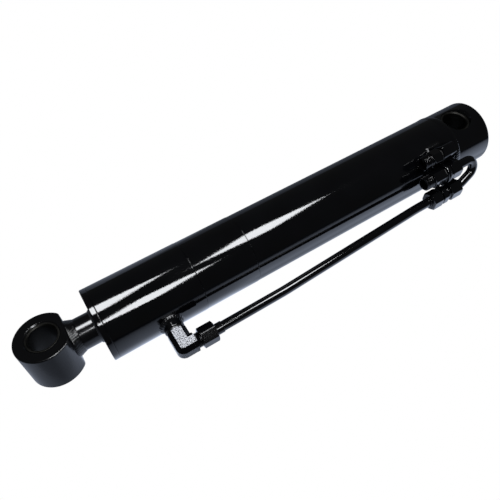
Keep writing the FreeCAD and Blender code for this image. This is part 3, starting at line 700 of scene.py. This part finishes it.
def fitting(name, spans, place, flats):
    """Body turned from bar: spans are (start, end, kind) in order, kind hex, thread or plain radius."""
    outline = []
    corner = flats / math.sqrt(3)
    for start, end, kind in spans:
        if kind == "hex":
            rise = (corner - flats / 2) * math.tan(math.radians(30))
            outline += [
                (start, flats / 2 - 0.3, 0.2), (start + rise, corner, 0.2), (end - rise, corner, 0.2),
                (end, flats / 2 - 0.3, 0.2)]
        elif kind == "thread":
            root = THREAD_R - THREAD_CHAMFER
            outline += [
                (start, root, 0.1), (start + THREAD_CHAMFER, THREAD_R, 0.1),
                (end - THREAD_CHAMFER, THREAD_R, 0.1), (end, root, 0.1)]
        else:
            outline += [(start, kind, 0.1), (end, kind, 0.1)]
    first = spans[0][0]
    last = spans[-1][1]
    outline += [
        (last, CONE_R, 0.1), (last - CONE_DEPTH, SEAT_R, 0.1), (last - SEAT_DEPTH, SEAT_R),
        (last - SEAT_DEPTH, PASSAGE_R), (first + SEAT_DEPTH, PASSAGE_R), (first + SEAT_DEPTH, SEAT_R),
        (first + CONE_DEPTH, SEAT_R, 0.1), (first, CONE_R, 0.1)]

    def shape(x, radius, angle):
        if radius < THREAD_R - 0.6:
            return radius
        for start, end, kind in spans:
            if start <= x <= end and kind == "hex":
                return min(radius, hex_radius(angle, flats))
            if start + 0.5 < x < end - 0.5 and kind == "thread":
                return radius - thread_cut(x, angle)
        return radius

    return lathe(name, dense(rounded(outline, 0.2), 0.36), 180, shape, place=place)


def nut_shape(x, radius, angle):
    """Six flats on the outside of a turned nut."""
    return min(radius, hex_radius(angle, NUT_FLATS)) if radius > NUT_SKIN_R else radius


def tube_nut(name, node, place, front):
    """Union nut along X with its thread at the back and its tube side at front."""
    back = NUT_BACK_X
    flat = NUT_FLATS / 2
    corner = NUT_FLATS / math.sqrt(3)
    rise = (corner - flat) * math.tan(math.radians(30))
    outline = [
        (back, THREAD_HOLE_R, 0.3), (back, flat - 0.4, 0.3), (back + rise, corner, 0.4),
        (front - rise, corner, 0.4), (front, flat - 0.6, 0.3), (front, 7.0, 0.4), (5.4, 7.0),
        (3.6, 8.5), (0.5, 8.5), (0.5, THREAD_HOLE_R)]

    nut = lathe(name, dense(rounded(outline, 0.2), 0.5), 180, nut_shape, place=place)
    return stand_for(nut, node, SMOOTH_PAINT)


def sleeve(name, node, place, collar):
    """Cutting sleeve round the tube, with its collar's end at collar."""
    outline = [
        (-4.7, 6.02), (-4.7, 6.1), (0.1, 7.0), (0.1, 8.4), (3.4, 8.4), (5.0, 6.9), (collar, 6.9, 0.6),
        (collar, 6.02)]
    return stand_for(lathe(name, rounded(outline, 0.2), 96, place=place), node, SMOOTH_PAINT)


# ---------------------------------------------------------------- steel lines
TUBE_R = 6.0


def sweep_tube(name, points, radius=TUBE_R, bore=PASSAGE_R, segments=48):
    """Hollow round tube along closely spaced points."""
    vertices = []
    rows = []
    tangents = []
    for index in range(len(points)):
        before = points[max(index - 1, 0)]
        after = points[min(index + 1, len(points) - 1)]
        tangents.append((after - before).normalized())
    side = tangents[0].orthogonal().normalized()
    frames = []
    for index, tangent in enumerate(tangents):
        if index:
            side = tangents[index - 1].rotation_difference(tangent) @ side
        side = (side - tangent * side.dot(tangent)).normalized()
        frames.append((points[index], side.copy(), tangent.cross(side)))

    def ring(frame_at, size):
        here, u, v = frame_at
        row = []
        for step in range(segments):
            angle = 2 * math.pi * step / segments
            row.append(len(vertices))
            vertices.append(here + (u * math.cos(angle) + v * math.sin(angle)) * size)
        return row

    for item in frames:
        rows.append(ring(item, radius))
    for item in reversed(frames):
        rows.append(ring(item, bore))
    return make_object(name, vertices, ring_faces(rows))


def walk(start, across, moves, step=1.2):
    """Points along runs and tangent bends in the plane of X and across, first heading -X."""
    point = start.copy()
    heading = 0.0
    points = [point.copy()]
    for kind, *sizes in moves:
        if kind == "run":
            direction = Vector((-math.cos(heading), 0, 0)) + across * math.sin(heading)
            pieces = max(1, int(sizes[0] / 6))
            for _ in range(pieces):
                point = point + direction * (sizes[0] / pieces)
                points.append(point.copy())
        else:
            radius, degrees = sizes
            turn = math.radians(degrees)
            pieces = max(6, int(abs(turn) * radius / step))
            for _ in range(pieces):
                middle = heading + turn / pieces / 2
                chord = 2 * radius * math.sin(abs(turn) / pieces / 2)
                point = point + (Vector((-math.cos(middle), 0, 0)) + across * math.sin(middle)) * chord
                heading += turn / pieces
                points.append(point.copy())
    return points


ELBOW_MOUTH_X = 438.0
SEAT = 7.3               # how deep the tube's end sits in a fitting
PORT_AXIS_Y = 76.8
UNION_Y = 69.0
UNION_MOUTHS_X = (57.9, 92.5)
UNION_HEX_X = (72.7, 80.7)
BULKHEAD_Y = 57.1
BULKHEAD_Z = 28.1
BULKHEAD_REAR_MOUTH_X = 56.5
BULKHEAD_MOUTH_X = 107.0


LINE_BEND_R = 220.0
LINE_SLOPE_X = (335.0, 122.0)      # between these the line runs at a slope


def line_points():
    """Long line: level from the elbow, down a gentle slope, level into the union."""
    bend_r = LINE_BEND_R
    slope_from, slope_to = LINE_SLOPE_X
    start_x = ELBOW_MOUTH_X + SEAT
    end_x = UNION_MOUTHS_X[1] - SEAT
    drop = PORT_AXIS_Y - UNION_Y
    slope = math.atan2(drop, slope_from - slope_to)
    tangent = bend_r * math.tan(slope / 2)
    degrees = math.degrees(slope)
    return walk(Vector((start_x, PORT_AXIS_Y, 0)), Vector((0, -1, 0)), [
        ("run", start_x - slope_from - tangent),
        ("bend", bend_r, degrees),
        ("run", drop / math.sin(slope) - 2 * tangent),
        ("bend", bend_r, -degrees),
        ("run", slope_to - tangent - end_x)])


LEAN_DEGREES = 25.0      # the leg leans away from the bulkhead, so that the bend has room
LEAN_R = 20.0
HAIRPIN_R = 12.0
BEND_STRAIGHT = 2.0


def u_bend_points():
    """Tube out of the union, round a hairpin and back into the bulkhead union."""
    lean_degrees, lean_r, bend_r, straight = LEAN_DEGREES, LEAN_R, HAIRPIN_R, BEND_STRAIGHT
    start = Vector((UNION_MOUTHS_X[0] + SEAT, UNION_Y, 0))
    gap = Vector((0, BULKHEAD_Y - UNION_Y, BULKHEAD_Z))
    lean = math.radians(lean_degrees)
    nut_face = span("union_rear_nut")[0]
    leg = (gap.length - lean_r * (1 - math.cos(lean)) - bend_r * (1 + math.cos(lean))) / math.sin(lean)
    bend_end = nut_face - straight - lean_r * math.sin(lean) - leg * math.cos(lean) + bend_r * math.sin(lean)
    return walk(start, gap.normalized(), [
        ("run", start.x - nut_face + straight),
        ("bend", lean_r, lean_degrees),
        ("run", leg),
        ("bend", bend_r, 180 - lean_degrees),
        ("run", BULKHEAD_REAR_MOUTH_X + SEAT - bend_end)])


# ---------------------------------------------------------------- ports and bracket
PORT_X = 466.0
PORT_BOSS_R = 12.0
BLOCK_ANGLE = math.radians(48.5)
BLOCK_PORT_R = 60.0
STUD_HOLE_R = 8.05
BOSS_TOP = 52.5          # from the barrel's axis
COLLAR_TOP = 54.3        # the washer lies between the boss and the elbow's collar
WASHER_X = (71.0, 72.8)


def saddle_weld(name, footprint, barrel_r, leg, height, place, pitch=3.0):
    """Fillet weld round a foot on the barrel. footprint gives (x, z, outward x, outward z)."""
    vertices = []
    rows = []
    length = 0.0
    previous = None
    for x, z, out_x, out_z in footprint:
        if previous is not None:
            length += math.hypot(x - previous[0], z - previous[1])
        previous = (x, z)
        crest = abs(math.sin(math.pi * length / pitch)) ** 0.6
        row = []
        for step in range(9):
            t = step / 8
            bulge = math.sin(math.pi * t)
            away = leg * t + 0.5 * bulge - 0.35 * (1 - crest) * bulge
            rise = height * (1 - t) + 0.7 * bulge - 0.35 * (1 - crest) * bulge
            px = x + out_x * away
            pz = z + out_z * away
            surface = math.sqrt(max(barrel_r ** 2 - pz ** 2, 1.0))
            row.append(len(vertices))
            vertices.append((px, surface - 0.15 + rise, pz))
        inner = math.sqrt(max(barrel_r ** 2 - z ** 2, 1.0))
        row.append(len(vertices))
        vertices.append((x - out_x * 0.6, inner - 0.6, z - out_z * 0.6))
        rows.append(row)
    return make_object(name, vertices, ring_faces(rows), place, sharp=60)


def round_footprint(x, radius, count=220):
    for step in range(count):
        angle = 2 * math.pi * step / count
        yield (x + radius * math.cos(angle), radius * math.sin(angle), math.cos(angle), math.sin(angle))


def box_footprint(x_low, x_high, half, corner=1.5, spacing=0.5):
    """Rectangle with small round corners, walked at even spacing."""
    corners = [(x_high - corner, half - corner, 0), (x_low + corner, half - corner, 90),
               (x_low + corner, -half + corner, 180), (x_high - corner, -half + corner, 270)]
    loop = []
    for cx, cz, first in corners:
        for step in range(7):
            angle = math.radians(first + 15 * step)
            out_x = math.cos(angle)
            out_z = math.sin(angle)
            loop.append((cx + corner * out_x, cz + corner * out_z, out_x, out_z))
    result = []
    for a, b in zip(loop, loop[1:] + loop[:1]):
        gap = math.hypot(b[0] - a[0], b[1] - a[1])
        pieces = max(1, int(gap / spacing))
        for k in range(pieces):
            t = k / pieces
            result.append(tuple(p + (q - p) * t for p, q in zip(a, b)))
    return result


BLOCK_HALF = 11.0
BLOCK_TOP = 71.0
BLOCK_FOOT = 40.0
BLOCK_X = (51.0, 71.0)
BLOCK_SECTION = [
    (BLOCK_FOOT, -BLOCK_HALF), (BLOCK_TOP - 8, -BLOCK_HALF), (BLOCK_TOP, -BLOCK_HALF + 8),
    (BLOCK_TOP, BLOCK_HALF - 2), (BLOCK_TOP - 2, BLOCK_HALF), (BLOCK_FOOT, BLOCK_HALF)]


def bevelled_prism(name, section, x_range, bevel, place=None, segments=3):
    """Bar along X with the given (y, z) section and all its edges rounded."""
    work = bmesh.new()
    ends = [[work.verts.new((x, y, z)) for y, z in section] for x in x_range]
    work.faces.new(ends[0])
    work.faces.new(list(reversed(ends[1])))
    count = len(section)
    for index in range(count):
        after = (index + 1) % count
        work.faces.new((ends[0][index], ends[1][index], ends[1][after], ends[0][after]))
    bmesh.ops.bevel(work, geom=work.edges[:], offset=bevel, segments=segments, profile=0.5, affect="EDGES")
    bmesh.ops.recalc_face_normals(work, faces=work.faces)
    mesh = bpy.data.meshes.new(name)
    work.to_mesh(mesh)
    work.free()
    if place is not None:
        mesh.transform(place)
    mesh.transform(Matrix.Scale(MM, 4))
    mesh.shade_smooth()
    mesh.set_sharp_from_angle(angle=math.radians(24))
    return linked(name, mesh)


def forged(name, body, relief, texture_scale):
    """Recuts a solid into a fine even mesh, keeps its edges crisp, then roughens its skin."""
    body.name = name
    remesh = body.modifiers.new("recut", "REMESH")
    remesh.mode = "SHARP"
    remesh.octree_depth = 6
    remesh.scale = 0.95
    remesh.use_remove_disconnected = False
    soften = body.modifiers.new("soften", "SMOOTH")
    soften.iterations = 1
    soften.factor = 0.5
    applied(body)
    for vertex in body.data.vertices:
        here = vertex.co / MM
        lumps = noise.fractal(here * texture_scale, 0.7, 2.1, 3)
        vertex.co += vertex.normal * (relief * lumps * MM)
    body.data.shade_smooth()
    return body


ELBOW_HALF = 11.2
ELBOW_ARM_HALF = 9.7
ELBOW_BEVEL = 5.2
ELBOW_ROUND = 9.0
ELBOW_FOOT_Y = 56.0
ELBOW_END_X = 453.0
FORGED_RELIEF = 0.09
FORGED_GRAIN = 0.55


def elbow_outline(inset):
    """The forging seen along Z, drawn in by inset."""
    left = PORT_X - ELBOW_HALF + inset
    right = PORT_X + ELBOW_HALF - inset
    near = PORT_AXIS_Y - ELBOW_ARM_HALF + inset
    far = PORT_AXIS_Y + ELBOW_ARM_HALF - inset
    radius = ELBOW_ROUND - inset
    points = [(left, ELBOW_FOOT_Y), (right, ELBOW_FOOT_Y)]
    for step in range(9):
        angle = math.radians(90 * step / 8)
        points.append((right + radius * (math.cos(angle) - 1), far + radius * (math.sin(angle) - 1)))
    return points + [(ELBOW_END_X, far), (ELBOW_END_X, near), (left, near)]


def port_elbow():
    """Forged elbow: an L-shaped bar with bevelled faces, its foot collar and its threaded outlet."""
    side = ELBOW_HALF - ELBOW_BEVEL
    levels = ((-ELBOW_HALF, ELBOW_BEVEL), (-side, 0.0), (side, 0.0), (ELBOW_HALF, ELBOW_BEVEL))
    vertices = []
    rings = []
    for z, inset in levels:
        outline = elbow_outline(inset)
        rings.append(range(len(vertices), len(vertices) + len(outline)))
        vertices += [(x, y, z) for x, y in outline]
    faces = [tuple(reversed(rings[0])), tuple(rings[-1])]
    for low, high in zip(rings, rings[1:]):
        for step, start in enumerate(low):
            after = (step + 1) % len(low)
            faces.append((start, low[after], high[after], high[step]))
    body = forged("elbow_forging", make_object("elbow_bars", vertices, faces), FORGED_RELIEF, FORGED_GRAIN)
    collar = lathe(
        "elbow_collar", [(COLLAR_TOP, PASSAGE_R), (COLLAR_TOP, 10.6), (61.0, 10.6), (61.0, PASSAGE_R)], 96,
        place=Matrix.Translation((PORT_X, 0, 0)) @ ALONG_Y)
    mouth = flipped_at(ELBOW_MOUTH_X, PORT_AXIS_Y)
    neck = fitting("elbow_outlet", [(-16.5, 0.0, "thread")], mouth, NUT_FLATS)
    return join("rod_port_elbow_forged", [body, collar, neck])


BRACKET_HALF = 13.0
BRACKET_FOOT = 42.0      # how far from the barrel's axis the plate starts
BRACKET_HOLE_R = 9.15


def bracket():
    """Plate whose round head holds the bulkhead union."""
    low, high = span("line_bracket")
    angle = math.atan2(BULKHEAD_Z, BULKHEAD_Y)
    centre = math.hypot(BULKHEAD_Y, BULKHEAD_Z)
    half = BRACKET_HALF
    block_lean = BLOCK_ANGLE - angle

    def trimmed(y, z):
        """Keeps the plate's upper edge on the port block's side face."""
        side = y * -math.sin(block_lean) + z * math.cos(block_lean)
        limit = -BLOCK_HALF
        if side > limit:
            z -= (side - limit) / math.cos(block_lean)
        return y, z

    border = []
    for step in range(49):
        turn = math.radians(-90 + 180 * step / 48)
        border.append((centre + half * math.cos(turn), half * math.sin(turn)))
    for step in range(1, 13):
        border.append((centre + (BRACKET_FOOT - centre) * step / 12, half))
    for step in range(1, 12):
        border.append((BRACKET_FOOT, half - 2 * half * step / 12))
    for step in range(12):
        border.append((BRACKET_FOOT + (centre - BRACKET_FOOT) * step / 12, -half))
    border = [trimmed(y, z) for y, z in border]
    vertices = []
    rings = []
    bevel = 0.7
    for x, shrink in ((low, bevel), (low + bevel, 0.0), (high - bevel, 0.0), (high, bevel)):
        row = []
        for y, z in border:
            inward = Vector((centre - y, -z)).normalized() * shrink
            row.append(len(vertices))
            vertices.append((x, y + inward.x, z + inward.y))
        rings.append(row)
    for x in (high, low):
        row = []
        for y, z in border:
            direction = Vector((y - centre, z)).normalized() * BRACKET_HOLE_R
            row.append(len(vertices))
            vertices.append((x, centre + direction.x, direction.y))
        rings.append(row)
    turn = Matrix.Rotation(angle, 4, "X")
    return make_object("line_bracket_painted", vertices, ring_faces(rings), turn, sharp=50)


# ---------------------------------------------------------------- build every piece
def build_barrel():
    stand_for(barrel(), "barrel_tube", TURNED_PAINT)
    stand_for(base_boss(), "base_boss", TURNED_PAINT)
    stand_for(base_weld(), "base_weld_bead", SMOOTH_PAINT)
    stand_for(gland(), "head_gland", TURNED_PAINT)
    stand_for(wiper(), "rod_wiper_seal", URETHANE)
    stand_for(pin_bush("base_bush_turned", BASE_BUSH_LENGTH, ALONG_Z), "base_pin_bush", BUSH_STEEL)


def build_rod():
    stand_for(rod(), "piston_rod", CHROME)
    stand_for(rod_eye(), "rod_eye", SATIN_PAINT)
    bush = pin_bush("rod_eye_bush_turned", EYE_BUSH_LENGTH, eye_place())
    stand_for(bush, "rod_eye_bush", BUSH_STEEL)
    stand_for(eye_weld(), "rod_eye_weld", WELD_PAINT)


def build_rod_port():
    up = Matrix.Translation((PORT_X, 0, 0)) @ ALONG_Y
    profile = [
        (42.0, STUD_HOLE_R), (42.0, PORT_BOSS_R), (BOSS_TOP, PORT_BOSS_R, 1.0), (BOSS_TOP, STUD_HOLE_R, 0.3)]
    boss = lathe("rod_port_boss_painted", rounded(profile, 0.2), 144, place=up)
    stand_for(boss, "rod_port_boss", SMOOTH_PAINT)
    profile = [
        (BOSS_TOP, STUD_HOLE_R), (BOSS_TOP, 11.0, 0.3), (COLLAR_TOP, 11.0, 0.3), (COLLAR_TOP, STUD_HOLE_R)]
    washer = lathe("rod_port_washer_turned", rounded(profile, 0.2), 96, place=up)
    stand_for(washer, "rod_port_washer", WASHER_STEEL)
    weld = saddle_weld(
        "rod_port_weld_painted", list(round_footprint(PORT_X, PORT_BOSS_R)), BARREL_HEAD_R, 4.2, 3.6, None)
    stand_for(weld, "rod_port_weld", WELD_PAINT)
    stand_for(port_elbow(), "rod_port_elbow", CAST_PAINT_TOP_HIGHLIGHT)
    mouth = flipped_at(ELBOW_MOUTH_X, PORT_AXIS_Y)
    tube_nut("elbow_tube_nut_painted", "elbow_tube_nut", mouth, 10.0)
    sleeve("elbow_sleeve_painted", "elbow_tube_sleeve", mouth, 19.0)


def build_base_port():
    turn = Matrix.Rotation(BLOCK_ANGLE, 4, "X")
    block = bevelled_prism("base_port_block_painted", BLOCK_SECTION, BLOCK_X, 1.2, turn)
    stand_for(block, "base_port_block", SMOOTH_PAINT)
    weld = saddle_weld(
        "base_port_weld_painted", box_footprint(*BLOCK_X, BLOCK_HALF), BARREL_BASE_R, 3.6, 2.8, turn)
    stand_for(weld, "base_port_weld", WELD_PAINT)
    port = turn @ at(BLOCK_PORT_R)
    inner, outer = WASHER_X
    washer = [(inner, STUD_HOLE_R), (inner, 9.5, 0.2), (outer, 9.5, 0.2), (outer, STUD_HOLE_R)]
    ring = lathe("base_port_washer_turned", rounded(washer, 0.2), 96, place=port)
    stand_for(ring, "base_port_washer", WASHER_STEEL)
    adapter = fitting(
        "base_port_adapter_painted",
        [(62.0, WASHER_X[1], 8.0), (WASHER_X[1], 86.0, "hex"), (86.0, 100.0, "thread")],
        port, ADAPTER_FLATS)
    stand_for(adapter, "base_port_adapter", SMOOTH_PAINT)
    stand_for(bracket(), "line_bracket", SMOOTH_PAINT)
    axis = at(BULKHEAD_Y, BULKHEAD_Z)
    union = fitting(
        "bulkhead_union_painted",
        [(BULKHEAD_REAR_MOUTH_X, 75.0, "thread"), (75.0, 95.0, "hex"), (95.0, BULKHEAD_MOUTH_X, "thread")],
        axis, BULKHEAD_FLATS)
    stand_for(union, "bulkhead_union", SMOOTH_PAINT)
    lock_low, lock_high = span("bulkhead_locknut")
    locknut = [
        (lock_low, THREAD_HOLE_R, 0.2), (lock_low, 10.7), (lock_low + 0.9, 12.7, 0.2),
        (lock_high - 0.9, 12.7, 0.2), (lock_high, 10.7), (lock_high, THREAD_HOLE_R, 0.2)]
    nut = lathe("bulkhead_locknut_painted", dense(rounded(locknut, 0.2), 0.4), 180, nut_shape, place=axis)
    stand_for(nut, "bulkhead_locknut", SMOOTH_PAINT)
    rear = flipped_at(BULKHEAD_REAR_MOUTH_X, BULKHEAD_Y, BULKHEAD_Z)
    tube_nut("bulkhead_tube_nut_painted", "bulkhead_tube_nut", rear, 6.5)
    sleeve("bulkhead_sleeve_painted", "bulkhead_tube_sleeve", rear, 7.5)


def build_lines():
    stand_for(sweep_tube("line_tube_painted", line_points()), "line_tube", SMOOTH_PAINT)
    stand_for(sweep_tube("u_bend_painted", u_bend_points()), "u_bend_tube", SMOOTH_PAINT)
    hex_low, hex_high = UNION_HEX_X
    body = fitting(
        "union_body_painted",
        [(UNION_MOUTHS_X[0], hex_low, "thread"), (hex_low, hex_high, "hex"),
         (hex_high, UNION_MOUTHS_X[1], "thread")],
        at(UNION_Y), UNION_FLATS)
    stand_for(body, "union_body", SMOOTH_PAINT)
    front = at(UNION_Y, 0, UNION_MOUTHS_X[1])
    rear = flipped_at(UNION_MOUTHS_X[0], UNION_Y)
    tube_nut("union_front_nut_painted", "union_front_nut", front, 6.2)
    tube_nut("union_rear_nut_painted", "union_rear_nut", rear, 8.5)
    sleeve("union_front_sleeve_painted", "union_front_sleeve", front, 7.5)
    sleeve("union_rear_sleeve_painted", "union_rear_sleeve", rear, 9.5)


def finish_inner_nodes():
    """Sealed inner parts keep their CAD shape and take a procedural material."""
    for node, obj in frame["nodes"].items():
        obj.data.materials.clear()
        obj.data.materials.append(INNER_MATERIAL[SLOT_OF[node]])


finish_inner_nodes()
build_barrel()
build_rod()
build_rod_port()
build_base_port()
build_lines()


# ---------------------------------------------------------------- floor, light and camera
# Lengths below are metres.
FLOOR_HALF = 4.0
FLOOR_GAP = 0.0002
FLOOR_STRIP = (0.056, 0.076)       # strip beside the cylinder, painted shadow on the base side and painted light on the rod side: its inner and outer edge
FLOOR_CHANGE = (0.33, 0.38)        # where along the cylinder the strip changes over
STRIP_SHARE = (0.46, 1.0)          # glow of the strip on the base side and on the rod side: the dim base side is a painted contact shadow
BEYOND_SHARE = (1.0, 0.66)         # the same outside the strip
FLOOR_FAR = (0.13, 0.58)           # beside the cylinder, where the glow begins and ceases to fall off
FAR_SHARE = 0.03
FLOOR_BEHIND = (-0.05, 0.0)        # behind the cylinder, where the glow is dimmest and where it is full
BEHIND_SHARE = 0.25
FLOOR_ALONG = (0.50, 0.60)         # along the cylinder, where the glow begins and ceases to fall off
ALONG_SHARE = 0.34
FLOOR_GLOW = (1.06, 1.20, 1.50)


def white_to_eye(nodes, links, lit_by, seen, output):
    """Surface that lights the object with one shader and shows another one directly."""
    choose = nodes.new("ShaderNodeMixShader")
    links.new(nodes.new("ShaderNodeLightPath").outputs["Is Camera Ray"], choose.inputs["Fac"])
    links.new(lit_by.outputs[0], choose.inputs[1])
    links.new(seen.outputs[0], choose.inputs[2])
    links.new(choose.outputs[0], output.inputs["Surface"])


def add_floor():
    """Glowing floor, not a lamp: plain white and shadowless to the eye, while the glow it sheds on the
    object is a painted pool of light, brightest beside the cylinder.
    """
    level = CAD_BOX[0].z - FLOOR_GAP
    half = FLOOR_HALF
    mesh = bpy.data.meshes.new("floor")
    mesh.from_pydata(
        [(-half, -half, level), (half, -half, level), (half, half, level), (-half, half, level)], [],
        [(0, 1, 2, 3)])
    floor = linked("floor", mesh)
    material = bpy.data.materials.new("pale_floor")
    material.use_nodes = True
    nodes = material.node_tree.nodes
    links = material.node_tree.links
    nodes.remove(nodes["Principled BSDF"])
    split = nodes.new("ShaderNodeSeparateXYZ")
    links.new(object_coords(nodes), split.inputs["Vector"])
    # Painted contact shadow along the base side of the cylinder, painted light along the rod side.
    strip = nodes.new("ShaderNodeMix")
    links.new(map_range(nodes, links, split.outputs["Y"], *FLOOR_STRIP, 0.0, 1.0), strip.inputs["Factor"])
    links.new(map_range(nodes, links, split.outputs["X"], *FLOOR_CHANGE, *STRIP_SHARE), strip.inputs["A"])
    links.new(map_range(nodes, links, split.outputs["X"], *FLOOR_CHANGE, *BEYOND_SHARE), strip.inputs["B"])
    shares = [
        strip.outputs["Result"],
        map_range(nodes, links, split.outputs["Y"], *FLOOR_FAR, 1.0, FAR_SHARE),
        map_range(nodes, links, split.outputs["Y"], *FLOOR_BEHIND, BEHIND_SHARE, 1.0),
        map_range(nodes, links, split.outputs["X"], *FLOOR_ALONG, 1.0, ALONG_SHARE)]
    strength = shares[0]
    for share in shares[1:]:
        strength = calculated(nodes, links, "MULTIPLY", strength, share)
    # Painted light: the floor's emission, strongest beside the cylinder and fading away from it.
    glow = nodes.new("ShaderNodeEmission")
    glow.inputs["Color"].default_value = (*FLOOR_GLOW, 1)
    links.new(strength, glow.inputs["Strength"])
    seen = nodes.new("ShaderNodeEmission")
    seen.inputs["Color"].default_value = (1, 1, 1, 1)
    white_to_eye(nodes, links, glow, seen, nodes["Material Output"])
    mesh.materials.append(material)


PANEL_HEIGHT = 1.2
PANEL_SIDE = 0.375
PANEL_TURN = math.radians(-35.5)
PANEL_RADIANCE = 21.0
PANEL_CENTRES = ((-0.086, 0.134), (0.554, -0.278), (0.357, 0.684))
PANEL_COLOUR = (0.95, 0.97, 1.0)
ROOM_COLOUR = (0.95, 0.97, 0.92)
ROOM_STRENGTH = 0.045


def add_lights():
    """Three square ceiling panels of one grid, and a dim studio all round."""
    for index, (x, y) in enumerate(PANEL_CENTRES):
        light = bpy.data.lights.new(f"ceiling_panel_{index}", "AREA")
        light.shape = "SQUARE"
        light.size = PANEL_SIDE
        light.energy = PANEL_RADIANCE * math.pi * PANEL_SIDE ** 2
        light.color = PANEL_COLOUR
        panel = linked(light.name, light)
        panel.location = (x, y, PANEL_HEIGHT)
        panel.rotation_euler = (0, 0, PANEL_TURN)
    world = bpy.data.worlds.new("studio")
    world.use_nodes = True
    nodes = world.node_tree.nodes
    links = world.node_tree.links
    seen = nodes["Background"]
    seen.inputs["Color"].default_value = (1, 1, 1, 1)
    seen.inputs["Strength"].default_value = 1.0
    around = nodes.new("ShaderNodeBackground")
    around.inputs["Color"].default_value = (*ROOM_COLOUR, 1)
    around.inputs["Strength"].default_value = ROOM_STRENGTH
    white_to_eye(nodes, links, around, seen, nodes["World Output"])
    bpy.context.scene.world = world


CAMERA_PLACE = Vector((0.52744, 0.30822, 0.53709))
CAMERA_AIM = Vector((0.3375, 0.0066, 0.0))
CAMERA_ROLL = math.radians(-0.31)
CAMERA_SENSOR = 36.0     # millimetres, as the lens
CAMERA_LENS = 37.57
CAMERA_CLIP = 0.01


def add_camera():
    data = bpy.data.cameras.new("camera")
    data.sensor_width = CAMERA_SENSOR
    data.lens = CAMERA_LENS
    data.clip_start = CAMERA_CLIP
    camera = linked("camera", data)
    camera.location = CAMERA_PLACE
    aim = (CAMERA_AIM - CAMERA_PLACE).to_track_quat("-Z", "Y")
    camera.rotation_mode = "QUATERNION"
    camera.rotation_quaternion = aim @ Matrix.Rotation(CAMERA_ROLL, 4, "Z").to_quaternion()
    bpy.context.scene.camera = camera


add_floor()
add_lights()
add_camera()
bpy.context.scene.view_settings.view_transform = "Standard"
